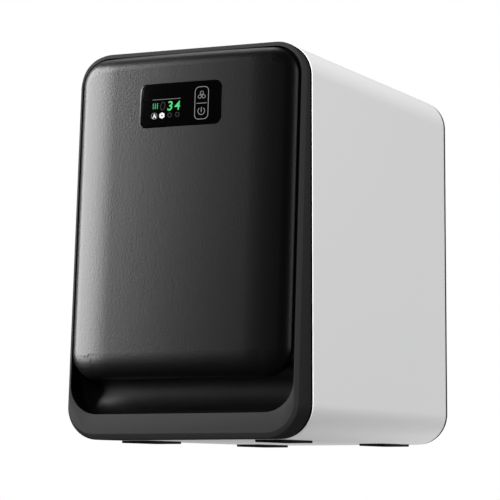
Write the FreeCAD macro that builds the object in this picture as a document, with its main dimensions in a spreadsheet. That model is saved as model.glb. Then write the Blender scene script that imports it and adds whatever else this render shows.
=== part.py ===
import FreeCAD, Part
import math
import os
from types import SimpleNamespace

import Sketcher
from FreeCAD import Placement, Rotation, Vector

# Filament dryer box: a pale sleeve with a leaning black door, a heated chamber with two
# roller lines for four spools, and a service bay under the chamber for fan, heater and power.
# X runs to the viewer's right, Y from the door to the back, Z up. Millimetres and degrees.
# The origin is on the floor, under the middle of the whole box.

SIZES = {
    # Sleeve
    "shell_width": 255,
    "shell_height": 400,
    "shell_depth": 406,
    "corner_radius": 35,
    "shell_wall": 2.5,
    "fit": 0.2,
    # Feet
    "foot_width": 31,
    "foot_length": 83,
    "foot_height": 2.5,
    "foot_radius": 4,
    "foot_side": 52.5,
    "foot_front": 52,
    "foot_rear": 64,
    # Door: depth at its top, lean of its face, bevel round the face, gap to the sleeve
    "door_top_depth": 13.2,
    "front_lean": 4.17,
    "bevel_depth": 4.2,
    "bevel_side": 3.2,
    "bevel_top": 2,
    "chin_rise": 5.8,
    "door_gap": 1,
    "door_wall": 3,
    "liner_thickness": 2.5,
    "rim_side": 4.2,
    "rim_top": 5,
    "rim_bottom": 20,
    "recess_depth": 3.5,
    "recess_floor": 2.5,
    # Raised front panel of the door
    "panel_gap": 2.1,
    "panel_wall": 3,
    "panel_front": 21.6,
    "panel_roll": 17,
    "panel_bow": 1300,
    "panel_flank": 140,
    "panel_flank_width": 47,
    # Finger grip under the panel
    "grip_height": 35,
    "grip_wall": 2.5,
    "grip_tuck": 15,
    "grip_axis_depth": 2,
    # Display window and what lies behind it
    "window_width": 90.6,
    "window_height": 45.2,
    "window_radius": 7,
    "window_thickness": 1.4,
    "window_sink": 0.3,
    "window_ledge": 3,
    "window_drop": 56.8,
    "module_depth": 5,
    "module_margin": 7,
    "board_margin": 8,
    "board_thickness": 1.6,
    "post_radius": 2.5,
    # Hinge
    "hinge_inset": 6,
    "hinge_forward": 8,
    "hinge_low": 80,
    "hinge_drop": 110,
    "hinge_pin_radius": 1.8,
    "hinge_eye_radius": 3.6,
    "hinge_arm_height": 8,
    "hinge_lug_height": 11,
    "hinge_clearance": 0.4,
    "running_clearance": 0.05,
    "seat_clearance": 0.02,
    # Bulkhead, chamber and seal
    "bulkhead_set_back": 4,
    "bulkhead_thickness": 3,
    "bulkhead_lip": 9,
    "mouth_lip": 2,
    "mouth_radius": 12,
    "chamber_side": 15.5,
    "chamber_roof": 12,
    "chamber_floor": 106,
    "chamber_rear": 40,
    "liner_wall": 2,
    "flange_width": 9,
    "flange_thickness": 1.5,
    "seal_width": 4.5,
    "seal_offset": 1.5,
    "seal_gap": 0.3,
    # Magnets of the door and their strikes
    "magnet_length": 26,
    "magnet_width": 6,
    "magnet_thickness": 5,
    "magnet_inset": 7,
    "magnet_low": 130,
    "magnet_drop": 60,
    "strike_thickness": 1.2,
    # Roller lines
    "roller_spacing": 110,
    "roller_radius": 11,
    "roller_gap": 12,
    "roller_groove": 1,
    "roller_land": 15,
    "roller_height": 18,
    "roller_front": 12,
    "roller_rear": 11,
    "shaft_radius": 4,
    "bracket_thickness": 3,
    "bracket_lug": 9,
    "bracket_bridge": 6,
    "bracket_foot": 5,
    # Air grilles
    "grille_thickness": 1.5,
    "floor_grille_width": 84,
    "floor_grille_front": 112,
    "return_grille_side": 27,
    "return_grille_height": 50,
    "return_grille_drop": 45,
    "grille_slot": 5,
    "grille_pitch": 11,
    "grille_border": 8,
    # Service bay
    "base_plate_thickness": 2,
    "base_plate_side": 0.5,
    "base_plate_gap": 2,
    "support_thickness": 2,
    "support_flange": 14,
    "support_inset": 10,
    "support_window": 52,
    # Fan and heater
    "fan_size": 92,
    "fan_depth": 25,
    "fan_bore_radius": 43.5,
    "fan_hub_radius": 18,
    "fan_blade_radius": 41,
    "fan_blade_thickness": 2,
    "fan_hole_pitch": 82.5,
    "fan_hole_radius": 2.2,
    "fan_shaft_radius": 1.5,
    "fan_strut": 5,
    "fan_plate": 3,
    "fan_rear": 106,
    "heater_depth": 26,
    "heater_core_width": 80,
    "heater_core_height": 76,
    "heater_fin_gap": 2.8,
    "heater_fin_pitch": 5,
    "heater_bar": 8,
    "cutout_radius": 8,
    "cutout_height": 9,
    "duct_width": 108,
    "duct_wall": 2,
    # Electronics
    "supply_width": 62,
    "supply_length": 80,
    "supply_height": 38,
    "bay_margin": 6,
    "bay_front": 24,
    "bay_gap": 12,
    "control_length": 80,
    "standoff_height": 8,
    # Rear panel
    "rear_thickness": 3,
    "rear_inset": 1.2,
    "rear_rib": 8,
    "rear_rib_wall": 2.5,
    "vent_width": 120,
    "vent_slot": 4,
    "vent_pitch": 9,
    "vent_drop": 70,
    "vent_rise": 44,
    "post_outer_radius": 5,
    "post_inset": 30,
    "post_rise": 20,
    "post_drop": 34,
    # Mains inlet
    "inlet_width": 27.5,
    "inlet_height": 20,
    "inlet_depth": 22,
    "inlet_flange": 3.5,
    "inlet_wall": 1.8,
    "inlet_side": 51.5,
    "inlet_z": 52,
    # Filament outlets in the roof
    "outlet_side": 43.5,
    "outlet_shank_radius": 5.8,
    "outlet_flange_radius": 10,
    "outlet_flange": 2,
    "outlet_boss_radius": 6.5,
    "outlet_boss": 11,
    "tube_bore_radius": 2.1,
    "tube_bore_depth": 9,
    "filament_bore_radius": 1.2,
    "outlet_hole_clearance": 0.3,
    # Sensor and screws
    "sensor_width": 34,
    "sensor_height": 22,
    "sensor_depth": 9,
    "screw_radius": 1.5,
    "screw_head_radius": 2.8,
    "screw_head": 1.8,
    "screw_length": 9,
}


class Size:
    """A length or angle, held as a number and as the sheet formula that gives it."""

    def __init__(self, formula, value):
        self.formula = formula
        self.value = value

    def __add__(self, other):
        return Size(f"({self.formula} + {formula(other)})", self.value + number(other))

    def __sub__(self, other):
        return Size(f"({self.formula} - {formula(other)})", self.value - number(other))

    def __mul__(self, other):
        return Size(f"({self.formula} * {formula(other)})", self.value * number(other))

    def __truediv__(self, other):
        return Size(f"({self.formula} / {formula(other)})", self.value / number(other))

    def __radd__(self, other):
        return Size(f"({formula(other)} + {self.formula})", number(other) + self.value)

    def __rsub__(self, other):
        return Size(f"({formula(other)} - {self.formula})", number(other) - self.value)

    def __rmul__(self, other):
        return Size(f"({formula(other)} * {self.formula})", number(other) * self.value)

    def __neg__(self):
        return Size(f"(0 - {self.formula})", -self.value)


def number(size):
    return size.value if isinstance(size, Size) else size


def formula(size):
    return size.formula if isinstance(size, Size) else repr(float(size))


def sine(angle):
    return Size(f"sin({angle.formula})", math.sin(math.radians(angle.value)))


def cosine(angle):
    return Size(f"cos({angle.formula})", math.cos(math.radians(angle.value)))


def root(size):
    return Size(f"sqrt({size.formula})", math.sqrt(size.value))


def whole(size):
    return Size(f"floor({size.formula})", math.floor(size.value))


doc = FreeCAD.newDocument("FilamentDryer")
sheet = doc.addObject("Spreadsheet::Sheet", "Sizes")
for row, (name, value) in enumerate(SIZES.items(), start=1):
    sheet.set(f"A{row}", name)
    sheet.set(f"B{row}", str(value))
    sheet.setAlias(f"B{row}", name)
doc.recompute()
s = SimpleNamespace(**{name: Size(f"Sizes.{name}", value) for name, value in SIZES.items()})
sub_parts = []


def bind(target, prop, size):
    target.setExpression(prop, formula(size))


def place(target, x, y, z, lean=False):
    """Puts an object at x, y, z, leaning back with the door's face where asked."""
    turn = Rotation(Vector(-1, 0, 0), number(s.front_lean) if lean else 0)
    target.Placement = Placement(Vector(number(x), number(y), number(z)), turn)
    for axis, size in zip("xyz", (x, y, z)):
        bind(target, f"Placement.Base.{axis}", size)
    if lean:
        bind(target, "Placement.Rotation.Angle", s.front_lean)


def in_cabinet(target, x=0, y=0, z=0):
    """The cabinet's frame starts at the sleeve's front edge, in the middle of its underside."""
    place(target, x, y - box_middle, z + s.foot_height)
    return target


def on_front(target):
    """The door face's frame starts at its foot: Y runs into the door, Z up along the lean."""
    place(target, 0, -box_middle - front_depth, s.foot_height, lean=True)
    return target


def sub_part(target, label):
    target.Label = label
    sub_parts.append(target)
    return target


# Profiles: each returns a function that draws itself, centred on a sketch's origin.

def rounded(width, height, radius):
    def draw(sketch):
        x, y, r = number(width) / 2, number(height) / 2, number(radius)
        ends = [(r - x, -y, x - r, -y), (x, r - y, x, y - r), (x - r, y, r - x, y), (-x, y - r, -x, r - y)]
        for x1, y1, x2, y2 in ends:
            sketch.addGeometry(Part.LineSegment(Vector(x1, y1, 0), Vector(x2, y2, 0)))
        centres = [(x - r, r - y), (x - r, y - r), (r - x, y - r), (r - x, r - y)]
        for quarter, (cx, cy) in enumerate(centres):
            start = (quarter - 1) * math.pi / 2
            circle = Part.Circle(Vector(cx, cy, 0), Vector(0, 0, 1), r)
            sketch.addGeometry(Part.ArcOfCircle(circle, start, start + math.pi / 2))
        for side in range(4):
            arc = 4 + side
            sketch.addConstraint(Sketcher.Constraint("Tangent", side, 2, arc, 1))
            sketch.addConstraint(Sketcher.Constraint("Tangent", arc, 2, (side + 1) % 4, 1))
            sketch.addConstraint(Sketcher.Constraint("Vertical" if side % 2 else "Horizontal", side))
        for arc in (5, 6, 7):
            sketch.addConstraint(Sketcher.Constraint("Equal", 4, arc))
        sketch.addConstraint(Sketcher.Constraint("Symmetric", 4, 3, 6, 3, -1, 1))
        dimension(sketch, ("Radius", 4), "radius", radius)
        dimension(sketch, ("DistanceX", 3, 1, 1, 1), "width", width)
        dimension(sketch, ("DistanceY", 0, 1, 2, 1), "height", height)
    return draw


def disc(radius):
    def draw(sketch):
        sketch.addGeometry(Part.Circle(Vector(0, 0, 0), Vector(0, 0, 1), number(radius)))
        sketch.addConstraint(Sketcher.Constraint("Coincident", 0, 3, -1, 1))
        dimension(sketch, ("Radius", 0), "radius", radius)
    return draw


def outline(points):
    def draw(sketch):
        ends = [Vector(number(x), number(y), 0) for x, y in points]
        count = len(ends)
        for i in range(count):
            sketch.addGeometry(Part.LineSegment(ends[i], ends[(i + 1) % count]))
        for i in range(count):
            sketch.addConstraint(Sketcher.Constraint("Coincident", i, 2, (i + 1) % count, 1))
        for i, (x, y) in enumerate(points):
            dimension(sketch, ("DistanceX", -1, 1, i, 1), f"x{i}", x)
            dimension(sketch, ("DistanceY", -1, 1, i, 1), f"y{i}", y)
    return draw


def rectangle(width, height):
    x, y = width / 2, height / 2
    return outline([(-x, -y), (x, -y), (x, y), (-x, y)])


def dimension(sketch, parts, name, size):
    index = sketch.addConstraint(Sketcher.Constraint(*parts, number(size)))
    sketch.renameConstraint(index, name)
    bind(sketch, f"Constraints.{name}", size)


# Features: sketches lie on a body's own origin planes, moved to a point of the body's frame.

PLANES = {
    "XY": lambda x, y, z: (x, y, z),
    "XZ": lambda x, y, z: (x, z, -y),
    "YZ": lambda x, y, z: (y, z, x),
}


def new_body(label):
    return sub_part(doc.addObject("PartDesign::Body", label), label)


def origin_feature(body, role):
    return next(item for item in body.Origin.OriginFeatures if item.Role == role)


def draw_on(body, plane, at, profile, lean=False):
    sketch = body.newObject("Sketcher::SketchObject", f"{body.Name}_sketch")
    sketch.AttachmentSupport = (origin_feature(body, f"{plane}_Plane"), [""])
    sketch.MapMode = "FlatFace"
    if lean:
        sketch.AttachmentOffset = Placement(Vector(0, 0, 0), Rotation(Vector(-1, 0, 0), number(s.front_lean)))
        bind(sketch, "AttachmentOffset.Rotation.Angle", s.front_lean)
    for axis, size in zip("xyz", PLANES[plane](*at)):
        bind(sketch, f"AttachmentOffset.Base.{axis}", size)
    profile(sketch)
    return sketch


def feature(body, kind, sketch):
    made = body.newObject(f"PartDesign::{kind}", f"{body.Name}_{kind.lower()}")
    made.Profile = sketch
    body.Tip = made
    return made


def pad(body, plane, at, profile, length):
    """Adds a prism that runs from the point towards the plane's positive axis."""
    made = feature(body, "Pad", draw_on(body, plane, at, profile))
    bind(made, "Length", length)
    made.Reversed = plane == "XZ"
    return made


def pocket(body, plane, at, profile, length):
    """Cuts a prism that runs from the point towards the plane's positive axis."""
    made = feature(body, "Pocket", draw_on(body, plane, at, profile))
    bind(made, "Length", length)
    made.Reversed = plane != "XZ"
    return made


def revolve(body, points):
    """Turns a radius and height outline about the body's Z axis."""
    made = feature(body, "Revolution", draw_on(body, "XZ", (0, 0, 0), outline(points)))
    made.ReferenceAxis = (made.Profile[0], ["V_Axis"])
    made.Angle = 360
    return made


def row_of(body, original, role, step, count):
    made = body.newObject("PartDesign::LinearPattern", f"{body.Name}_row")
    made.Originals = [original]
    made.Direction = (origin_feature(body, role), [""])
    made.Occurrences = int(number(count))
    if isinstance(count, Size):
        bind(made, "Occurrences", count)
    bind(made, "Length", step * (count - 1))
    body.Tip = made
    return made


def ring_of(body, original, role, count):
    made = body.newObject("PartDesign::PolarPattern", f"{body.Name}_ring")
    made.Originals = [original]
    made.Axis = (origin_feature(body, role), [""])
    made.Angle = 360
    made.Occurrences = count
    body.Tip = made
    return made


# Plain solids and booleans, for pieces that are put together from stock shapes.

TURNS = {"X": Rotation(Vector(0, 1, 0), 90), "Y": Rotation(Vector(-1, 0, 0), 90), "Z": Rotation()}


def box(name, at, length, width, height):
    made = doc.addObject("Part::Box", name)
    bind(made, "Length", length)
    bind(made, "Width", width)
    bind(made, "Height", height)
    place(made, *at)
    return made


def rod(name, at, axis, radius, length):
    made = doc.addObject("Part::Cylinder", name)
    bind(made, "Radius", radius)
    bind(made, "Height", length)
    place(made, *at)
    made.Placement = Placement(made.Placement.Base, TURNS[axis])
    return made


def joined(name, shapes):
    made = doc.addObject("Part::MultiFuse", name)
    made.Shapes = shapes
    return made


def shared(name, shapes):
    made = doc.addObject("Part::MultiCommon", name)
    made.Shapes = shapes
    return made


def cut(name, base, tool):
    made = doc.addObject("Part::Cut", name)
    made.Base = base
    made.Tool = tool
    return made


def group(name, shapes):
    made = doc.addObject("Part::Compound", name)
    made.Links = shapes
    return made


# Places and sizes that several pieces share.

SPOOLS = 4
half_width = s.shell_width / 2
inner_inset = s.shell_wall + s.fit
lean_cos = cosine(s.front_lean)
lean_sin = sine(s.front_lean)
front_depth = s.door_top_depth + s.shell_height * lean_sin / lean_cos
face_bottom = s.chin_rise / lean_cos
face_top = s.shell_height / lean_cos
recess_width = s.shell_width - 2 * s.rim_side
recess_bottom = face_bottom + s.rim_bottom
recess_top = face_top - s.rim_top
recess_radius = s.corner_radius - s.rim_side
panel_width = recess_width - 2 * s.panel_gap
panel_bottom = recess_bottom + s.grip_height
panel_top = recess_top - s.panel_gap
panel_radius = recess_radius - s.panel_gap
window_z = panel_top - s.window_drop
grip_radius = (s.grip_height + s.grip_tuck) / 2
grip_axis = recess_bottom + grip_radius - s.fit
hinge_x = s.hinge_inset - half_width
hinge_y = -s.door_gap - s.hinge_forward
hinge_levels = (s.hinge_low, s.shell_height - s.hinge_drop)
magnet_levels = (s.magnet_low, s.shell_height - s.magnet_drop)
bulkhead_back = s.bulkhead_set_back + s.bulkhead_thickness
chamber_width = s.shell_width - 2 * s.chamber_side
chamber_top = s.shell_height - s.chamber_roof
chamber_height = chamber_top - s.chamber_floor
chamber_middle = (s.chamber_floor + chamber_top) / 2
chamber_back = s.shell_depth - s.chamber_rear
chamber_outer_back = chamber_back + s.liner_wall
mouth_width = chamber_width - 2 * s.mouth_lip
mouth_height = chamber_height - 2 * s.mouth_lip
roller_axis = s.chamber_floor + s.roller_height
shaft_front = bulkhead_back + s.roller_front
spool_pitch = (chamber_back - s.roller_rear - shaft_front) / SPOOLS
spool_front = shaft_front + spool_pitch / 2
outlet_x = s.outlet_side - half_width
base_plate_width = s.shell_width - 2 * s.corner_radius - 2 * s.base_plate_side
base_plate_front = bulkhead_back + s.bulkhead_lip + s.base_plate_gap
base_plate_length = s.shell_depth - s.rear_rib - s.base_plate_gap - base_plate_front
bay_floor = s.shell_wall + s.base_plate_thickness
bay_roof = s.chamber_floor - s.liner_wall
bay_middle = (bay_floor + bay_roof) / 2
bay_width = base_plate_width - 2 * s.support_flange - 2 * s.bay_margin
fan_front = s.shell_depth - s.fan_rear
heater_front = fan_front - s.heater_depth
duct_front = s.floor_grille_front - s.duct_wall
floor_grille_length = heater_front + s.grille_border - s.floor_grille_front
return_grille_width = chamber_width - 2 * s.return_grille_side


def front_point(height, depth):
    """Where a point of the door's face lies in the cabinet's frame."""
    y = height * lean_sin + depth * lean_cos - front_depth
    z = height * lean_cos - depth * lean_sin
    return 0, y, z


box_front = front_point(panel_bottom + s.panel_roll, -s.panel_front)[1] - s.panel_roll * (1 - lean_cos)
box_back = s.shell_depth + s.rear_thickness + s.screw_head
box_middle = (box_front + box_back) / 2


def outer_shell():
    body = in_cabinet(new_body("outer_shell"))
    middle = s.shell_height / 2
    pad(body, "XZ", (0, 0, middle), rounded(s.shell_width, s.shell_height, s.corner_radius), s.shell_depth)
    inside = rounded(
        s.shell_width - 2 * s.shell_wall,
        s.shell_height - 2 * s.shell_wall,
        s.corner_radius - s.shell_wall,
    )
    pocket(body, "XZ", (0, 0, middle), inside, s.shell_depth)
    outlet_holes(body, s.shell_height - 2 * s.shell_wall, 3 * s.shell_wall)


def outlet_holes(body, start, length):
    hole = disc(s.outlet_shank_radius + s.outlet_hole_clearance)
    first = pocket(body, "XY", (outlet_x, spool_front, start), hole, length)
    row_of(body, first, "Y_Axis", spool_pitch, SPOOLS)


def feet():
    reach = half_width - s.foot_side
    for side, x in (("left", -reach), ("right", reach)):
        for end, y in (("front", s.foot_front), ("rear", s.shell_depth - s.foot_rear)):
            body = new_body(f"foot_{end}_{side}")
            place(body, x, y - box_middle, 0)
            pad(body, "XY", (0, 0, 0), rounded(s.foot_width, s.foot_length, s.foot_radius), s.foot_height)


def bulkhead():
    body = in_cabinet(new_body("front_bulkhead"))
    width = s.shell_width - 2 * inner_inset
    height = s.shell_height - 2 * inner_inset
    radius = s.corner_radius - inner_inset
    middle = s.shell_height / 2
    plate = rounded(width, height, radius)
    pad(body, "XZ", (0, s.bulkhead_set_back, middle), plate, s.bulkhead_thickness + s.bulkhead_lip)
    lip = s.bulkhead_thickness
    behind = rounded(width - 2 * lip, height - 2 * lip, radius - lip)
    pocket(body, "XZ", (0, bulkhead_back, middle), behind, s.bulkhead_lip)
    mouth = rounded(mouth_width, mouth_height, s.mouth_radius)
    pocket(body, "XZ", (0, s.bulkhead_set_back, chamber_middle), mouth, s.bulkhead_thickness)


def chamber():
    body = in_cabinet(new_body("chamber_liner"))
    outer_width = chamber_width + 2 * s.liner_wall
    outer_height = chamber_height + 2 * s.liner_wall
    radius = s.mouth_radius + s.mouth_lip
    start = (0, bulkhead_back, chamber_middle)
    tub = rounded(outer_width, outer_height, radius + s.liner_wall)
    pad(body, "XZ", start, tub, chamber_outer_back - bulkhead_back)
    rim = s.flange_width - s.liner_wall
    flange_radius = s.corner_radius - inner_inset - s.bulkhead_thickness - s.fit
    flange = rounded(outer_width + 2 * rim, outer_height + s.liner_wall, flange_radius)
    pad(body, "XZ", start, flange, s.flange_thickness)
    room = rounded(chamber_width, chamber_height, radius)
    pocket(body, "XZ", start, room, chamber_back - bulkhead_back)
    border = 2 * s.grille_border
    floor_middle = s.floor_grille_front + floor_grille_length / 2
    floor_window = rectangle(s.floor_grille_width - border, floor_grille_length - border)
    pocket(body, "XY", (0, floor_middle, bay_roof), floor_window, s.liner_wall)
    return_window = rectangle(return_grille_width - border, s.return_grille_height - border)
    pocket(body, "XZ", (0, chamber_back, return_grille_middle()), return_window, s.liner_wall)
    outlet_holes(body, chamber_top, s.liner_wall)


def return_grille_middle():
    return chamber_top - s.return_grille_drop


def grilles():
    floor = in_cabinet(new_body("floor_grille"))
    middle = s.floor_grille_front + floor_grille_length / 2
    plate = rounded(s.floor_grille_width, floor_grille_length, s.grille_slot)
    pad(floor, "XY", (0, middle, s.chamber_floor), plate, s.grille_thickness)
    slot = rectangle(s.floor_grille_width - 2 * s.grille_border, s.grille_slot)
    first = s.floor_grille_front + s.grille_border + s.grille_slot
    cutter = pocket(floor, "XY", (0, first, s.chamber_floor), slot, s.grille_thickness)
    row_of(floor, cutter, "Y_Axis", s.grille_pitch, grille_slots(floor_grille_length))

    back = in_cabinet(new_body("return_grille"))
    front = chamber_back - s.grille_thickness
    plate = rounded(return_grille_width, s.return_grille_height, s.grille_slot)
    pad(back, "XZ", (0, front, return_grille_middle()), plate, s.grille_thickness)
    slot = rectangle(s.grille_slot, s.return_grille_height - 2 * s.grille_border)
    first = s.grille_border + s.grille_slot - return_grille_width / 2
    cutter = pocket(back, "XZ", (first, front, return_grille_middle()), slot, s.grille_thickness)
    row_of(back, cutter, "X_Axis", s.grille_pitch, grille_slots(return_grille_width))


def grille_slots(length):
    """How many slots find room in a grille's length."""
    return whole((length - 2 * s.grille_border - 2 * s.grille_slot) / s.grille_pitch) + 1


def service_bay():
    plate = in_cabinet(new_body("base_plate"))
    at = (0, base_plate_front + base_plate_length / 2, s.shell_wall)
    sheet_outline = rounded(base_plate_width, base_plate_length, s.foot_radius)
    pad(plate, "XY", at, sheet_outline, s.base_plate_thickness)

    web = base_plate_width / 2 - s.support_flange
    front = base_plate_front + s.support_inset
    depth = chamber_outer_back - s.support_inset - front
    for side, sign in (("left", -1), ("right", 1)):
        body = in_cabinet(new_body(f"liner_support_{side}"))
        inner, outer, t = sign * web, sign * (web + s.support_flange), s.support_thickness
        skin = sign * (web + t)
        channel = outline([
            (inner, bay_floor),
            (outer, bay_floor),
            (outer, bay_floor + t),
            (skin, bay_floor + t),
            (skin, bay_roof - t),
            (outer, bay_roof - t),
            (outer, bay_roof),
            (inner, bay_roof),
        ])
        pad(body, "XZ", (0, front, 0), channel, depth)
        low = inner if sign > 0 else skin
        step = depth / 4
        window = rounded(s.support_window, s.support_window, s.support_window / 4)
        first = (low, front + step / 2, bay_middle)
        cutter = pocket(body, "YZ", first, window, t)
        row_of(body, cutter, "Y_Axis", step, 4)


def roller_lines():
    half = s.roller_spacing / 2
    shaft_length = SPOOLS * spool_pitch
    overhang = s.bracket_thickness
    for side, x in (("left", -half), ("right", half)):
        at = (x, shaft_front - overhang - box_middle, roller_axis + s.foot_height)
        sub_part(rod(f"roller_shaft_{side}", at, "Y", s.shaft_radius, shaft_length + 2 * overhang),
                 f"roller_shaft_{side}")
        for spool in range(SPOOLS):
            roller(f"roller_{side}_{spool + 1}", x, spool_front + spool * spool_pitch)
    for place_name, steps in (("front", 0), ("middle", 2), ("rear", 4)):
        roller_bracket(f"roller_bracket_{place_name}", shaft_front + steps * spool_pitch)


def roller(label, x, y):
    """A free-turning sleeve with two raised lands that carry a spool's flanges."""
    body = new_body(label)
    in_cabinet(body, x, y, roller_axis)
    bore = s.shaft_radius + s.running_clearance
    end = (spool_pitch - s.roller_gap) / 2
    land = end - s.roller_land
    outer = s.roller_radius
    waist = outer - s.roller_groove
    profile = outline([
        (bore, -end),
        (outer, -end),
        (outer, -land),
        (waist, -land),
        (waist, land),
        (outer, land),
        (outer, end),
        (bore, end),
    ])
    made = feature(body, "Revolution", draw_on(body, "XY", (0, 0, 0), profile))
    made.ReferenceAxis = (made.Profile[0], ["V_Axis"])
    made.Angle = 360


def roller_bracket(label, y):
    body = in_cabinet(new_body(label))
    half = s.roller_spacing / 2
    foot = s.floor_grille_width / 2 + s.fit
    lug = s.bracket_lug
    low = s.chamber_floor
    bridge_low = low + s.bracket_foot
    bridge_high = bridge_low + s.bracket_bridge
    top = roller_axis + lug
    right = [
        (foot, bridge_low),
        (foot, low),
        (half + lug + s.bracket_foot, low),
        (half + lug, roller_axis),
        (half + lug / 2, top),
        (half - lug / 2, top),
        (half - lug, bridge_high),
    ]
    left = [(-x, z) for x, z in reversed(right)]
    start = y - s.bracket_thickness / 2
    pad(body, "XZ", (0, start, 0), outline(right + left), s.bracket_thickness)
    hole = disc(s.shaft_radius + s.seat_clearance)
    for x in (-half, half):
        pocket(body, "XZ", (x, start, roller_axis), hole, s.bracket_thickness)


def fan():
    frame = in_cabinet(new_body("fan_frame"))
    front = fan_front
    middle = bay_floor + s.fan_size / 2
    pad(frame, "XZ", (0, front, middle), rounded(s.fan_size, s.fan_size, s.foot_radius), s.fan_depth)
    pocket(frame, "XZ", (0, front, middle), disc(s.fan_bore_radius), s.fan_depth)
    back = front + s.fan_depth - s.fan_plate
    strut = rectangle(2 * s.fan_bore_radius + s.fan_plate, s.fan_strut)
    pad(frame, "XZ", (0, back, middle), strut, s.fan_plate)
    strut = rectangle(s.fan_strut, 2 * s.fan_bore_radius + s.fan_plate)
    pad(frame, "XZ", (0, back, middle), strut, s.fan_plate)
    pad(frame, "XZ", (0, back, middle), disc(s.fan_hub_radius), s.fan_plate)
    bearing = disc(s.fan_shaft_radius + s.running_clearance)
    pocket(frame, "XZ", (0, back, middle), bearing, s.fan_plate)
    reach = s.fan_hole_pitch / 2
    for x, z in ((-reach, -reach), (reach, -reach), (reach, reach), (-reach, reach)):
        pocket(frame, "XZ", (x, front, middle + z), disc(s.fan_hole_radius), s.fan_depth)

    rotor = new_body("fan_rotor")
    in_cabinet(rotor, 0, front, middle)
    hub_depth = s.fan_depth - s.fan_plate - s.bracket_thickness
    pad(rotor, "XZ", (0, s.running_clearance, 0), disc(s.fan_hub_radius), hub_depth)
    pad(rotor, "XZ", (0, hub_depth, 0), disc(s.fan_shaft_radius), s.fan_depth - hub_depth)
    blade = rotor.newObject("PartDesign::AdditiveLoft", "fan_rotor_blade")
    root_x = s.fan_hub_radius - s.fan_plate
    blade.Profile = draw_on(rotor, "YZ", (root_x, 0, 0), blade_section(hub_depth, 0.42))
    tip = s.fan_blade_radius - s.fan_plate
    blade.Sections = [draw_on(rotor, "YZ", (tip, 0, 0), blade_section(hub_depth, 0.72))]
    rotor.Tip = blade
    ring_of(rotor, blade, "Y_Axis", 7)


def blade_section(depth, sweep):
    """A blade's cut: it runs across the hub's depth and leans round it by a share of that depth."""
    low, high = depth * 0.12, depth * 0.92
    rise = depth * sweep
    t = s.fan_blade_thickness
    return outline([
        (low, -rise),
        (low + t, -rise),
        (high, rise - t),
        (high, rise),
        (high - t, rise),
        (low, t - rise),
    ])


def heater():
    frame = in_cabinet(new_body("heater_frame"))
    middle = bay_floor + s.fan_size / 2
    width, height = s.heater_core_width, s.heater_core_height
    square = rounded(s.fan_size, s.fan_size, s.foot_radius)
    pad(frame, "XZ", (0, heater_front, middle), square, s.heater_depth)
    opening = rectangle(width + 2 * s.fit, height + 2 * s.fit)
    pocket(frame, "XZ", (0, heater_front, middle), opening, s.heater_depth)

    core = in_cabinet(new_body("heater_core"))
    pad(core, "XZ", (0, heater_front, middle), rectangle(width, height), s.heater_depth)
    slot = rectangle(s.heater_fin_gap, height - 2 * s.heater_bar)
    first = s.heater_fin_pitch - width / 2
    cutter = pocket(core, "XZ", (first, heater_front, middle), slot, s.heater_depth)
    row_of(core, cutter, "X_Axis", s.heater_fin_pitch, whole(width / s.heater_fin_pitch) - 1)

    stat = new_body("thermal_cutout")
    in_cabinet(stat, 0, heater_front + s.heater_depth / 2, bay_floor + s.fan_size)
    radius, rise = s.cutout_radius, s.cutout_height - s.fan_plate
    cap = radius * 0.7
    revolve(stat, [(0, 0), (radius, 0), (radius, rise / 2), (cap, rise / 2), (cap, rise), (0, rise)])

    duct = in_cabinet(new_body("hot_air_duct"))
    width, wall = s.duct_width, s.duct_wall
    length = heater_front - duct_front
    low = bay_floor
    pad(duct, "XY", (0, duct_front + length / 2, low), rectangle(width, length), bay_roof - low)
    inside = rectangle(width - 2 * wall, length)
    pocket(duct, "XY", (0, duct_front + wall + length / 2, low + wall), inside, bay_roof - low - wall)


def electronics():
    y0, z0 = s.bay_front - box_middle, bay_floor + s.foot_height
    x0 = -bay_width / 2
    width, length, height = s.supply_width, s.supply_length, s.supply_height
    block = s.standoff_height
    parts = [
        box("supply_case", (x0, y0 + block, z0), width, length - block, height),
        box("supply_terminals", (x0 + block / 2, y0, z0), width - block, block, block * 2),
    ]
    case = joined("supply_blank", parts)
    slots = []
    for i in range(6):
        at = (x0 + block, y0 + block * (2 + 1.2 * i), z0 + height - block / 2)
        slots.append(box(f"supply_slot_{i}", at, width - 2 * block, block / 2, block))
    sub_part(cut("power_supply", case, group("supply_slots", slots)), "power_supply")

    right = bay_width / 2
    left = x0 + s.supply_width + s.bay_gap
    deck = z0 + s.standoff_height
    top = deck + s.board_thickness
    length = s.control_length
    parts = [box("control_sheet", (left, y0, deck), right - left, length, s.board_thickness)]
    for x in (left + block, right - block):
        for y in (y0 + block, y0 + length - block):
            parts.append(rod("control_standoff", (x, y, z0), "Z", s.post_radius, s.standoff_height))
    parts += [
        box("control_relay", (left + block, y0 + 2 * block, top), 2.4 * block, 3.6 * block, 2 * block),
        box("control_filter", (left + block, y0 + 6 * block, top), 3 * block, 2.5 * block, 2.6 * block),
        box("control_chip", (right - 3.5 * block, y0 + 3 * block, top), 2 * block, 2 * block, block / 4),
        box("control_header", (right - 4 * block, y0 + 8.5 * block, top), 3 * block, block, block),
        rod("control_capacitor", (right - 2 * block, y0 + 6.5 * block, top), "Z", block * 0.9, 2.5 * block),
    ]
    sub_part(joined("control_board", parts), "control_board")

    sensor = in_cabinet(new_body("sensor_pod"))
    face = chamber_back - s.sensor_depth
    z = return_grille_middle() - s.return_grille_height / 2 - s.sensor_height
    x = return_grille_width / 2 - s.sensor_width / 2
    pad(sensor, "XZ", (x, face, z), rounded(s.sensor_width, s.sensor_height, s.foot_radius), s.sensor_depth)
    slot = rounded(s.grille_slot / 2, s.sensor_height * 0.6, s.grille_slot * 0.2)
    cutter = pocket(sensor, "XZ", (x - s.grille_pitch, face, z), slot, s.sensor_depth / 2)
    row_of(sensor, cutter, "X_Axis", s.grille_pitch / 2, 5)


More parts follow.
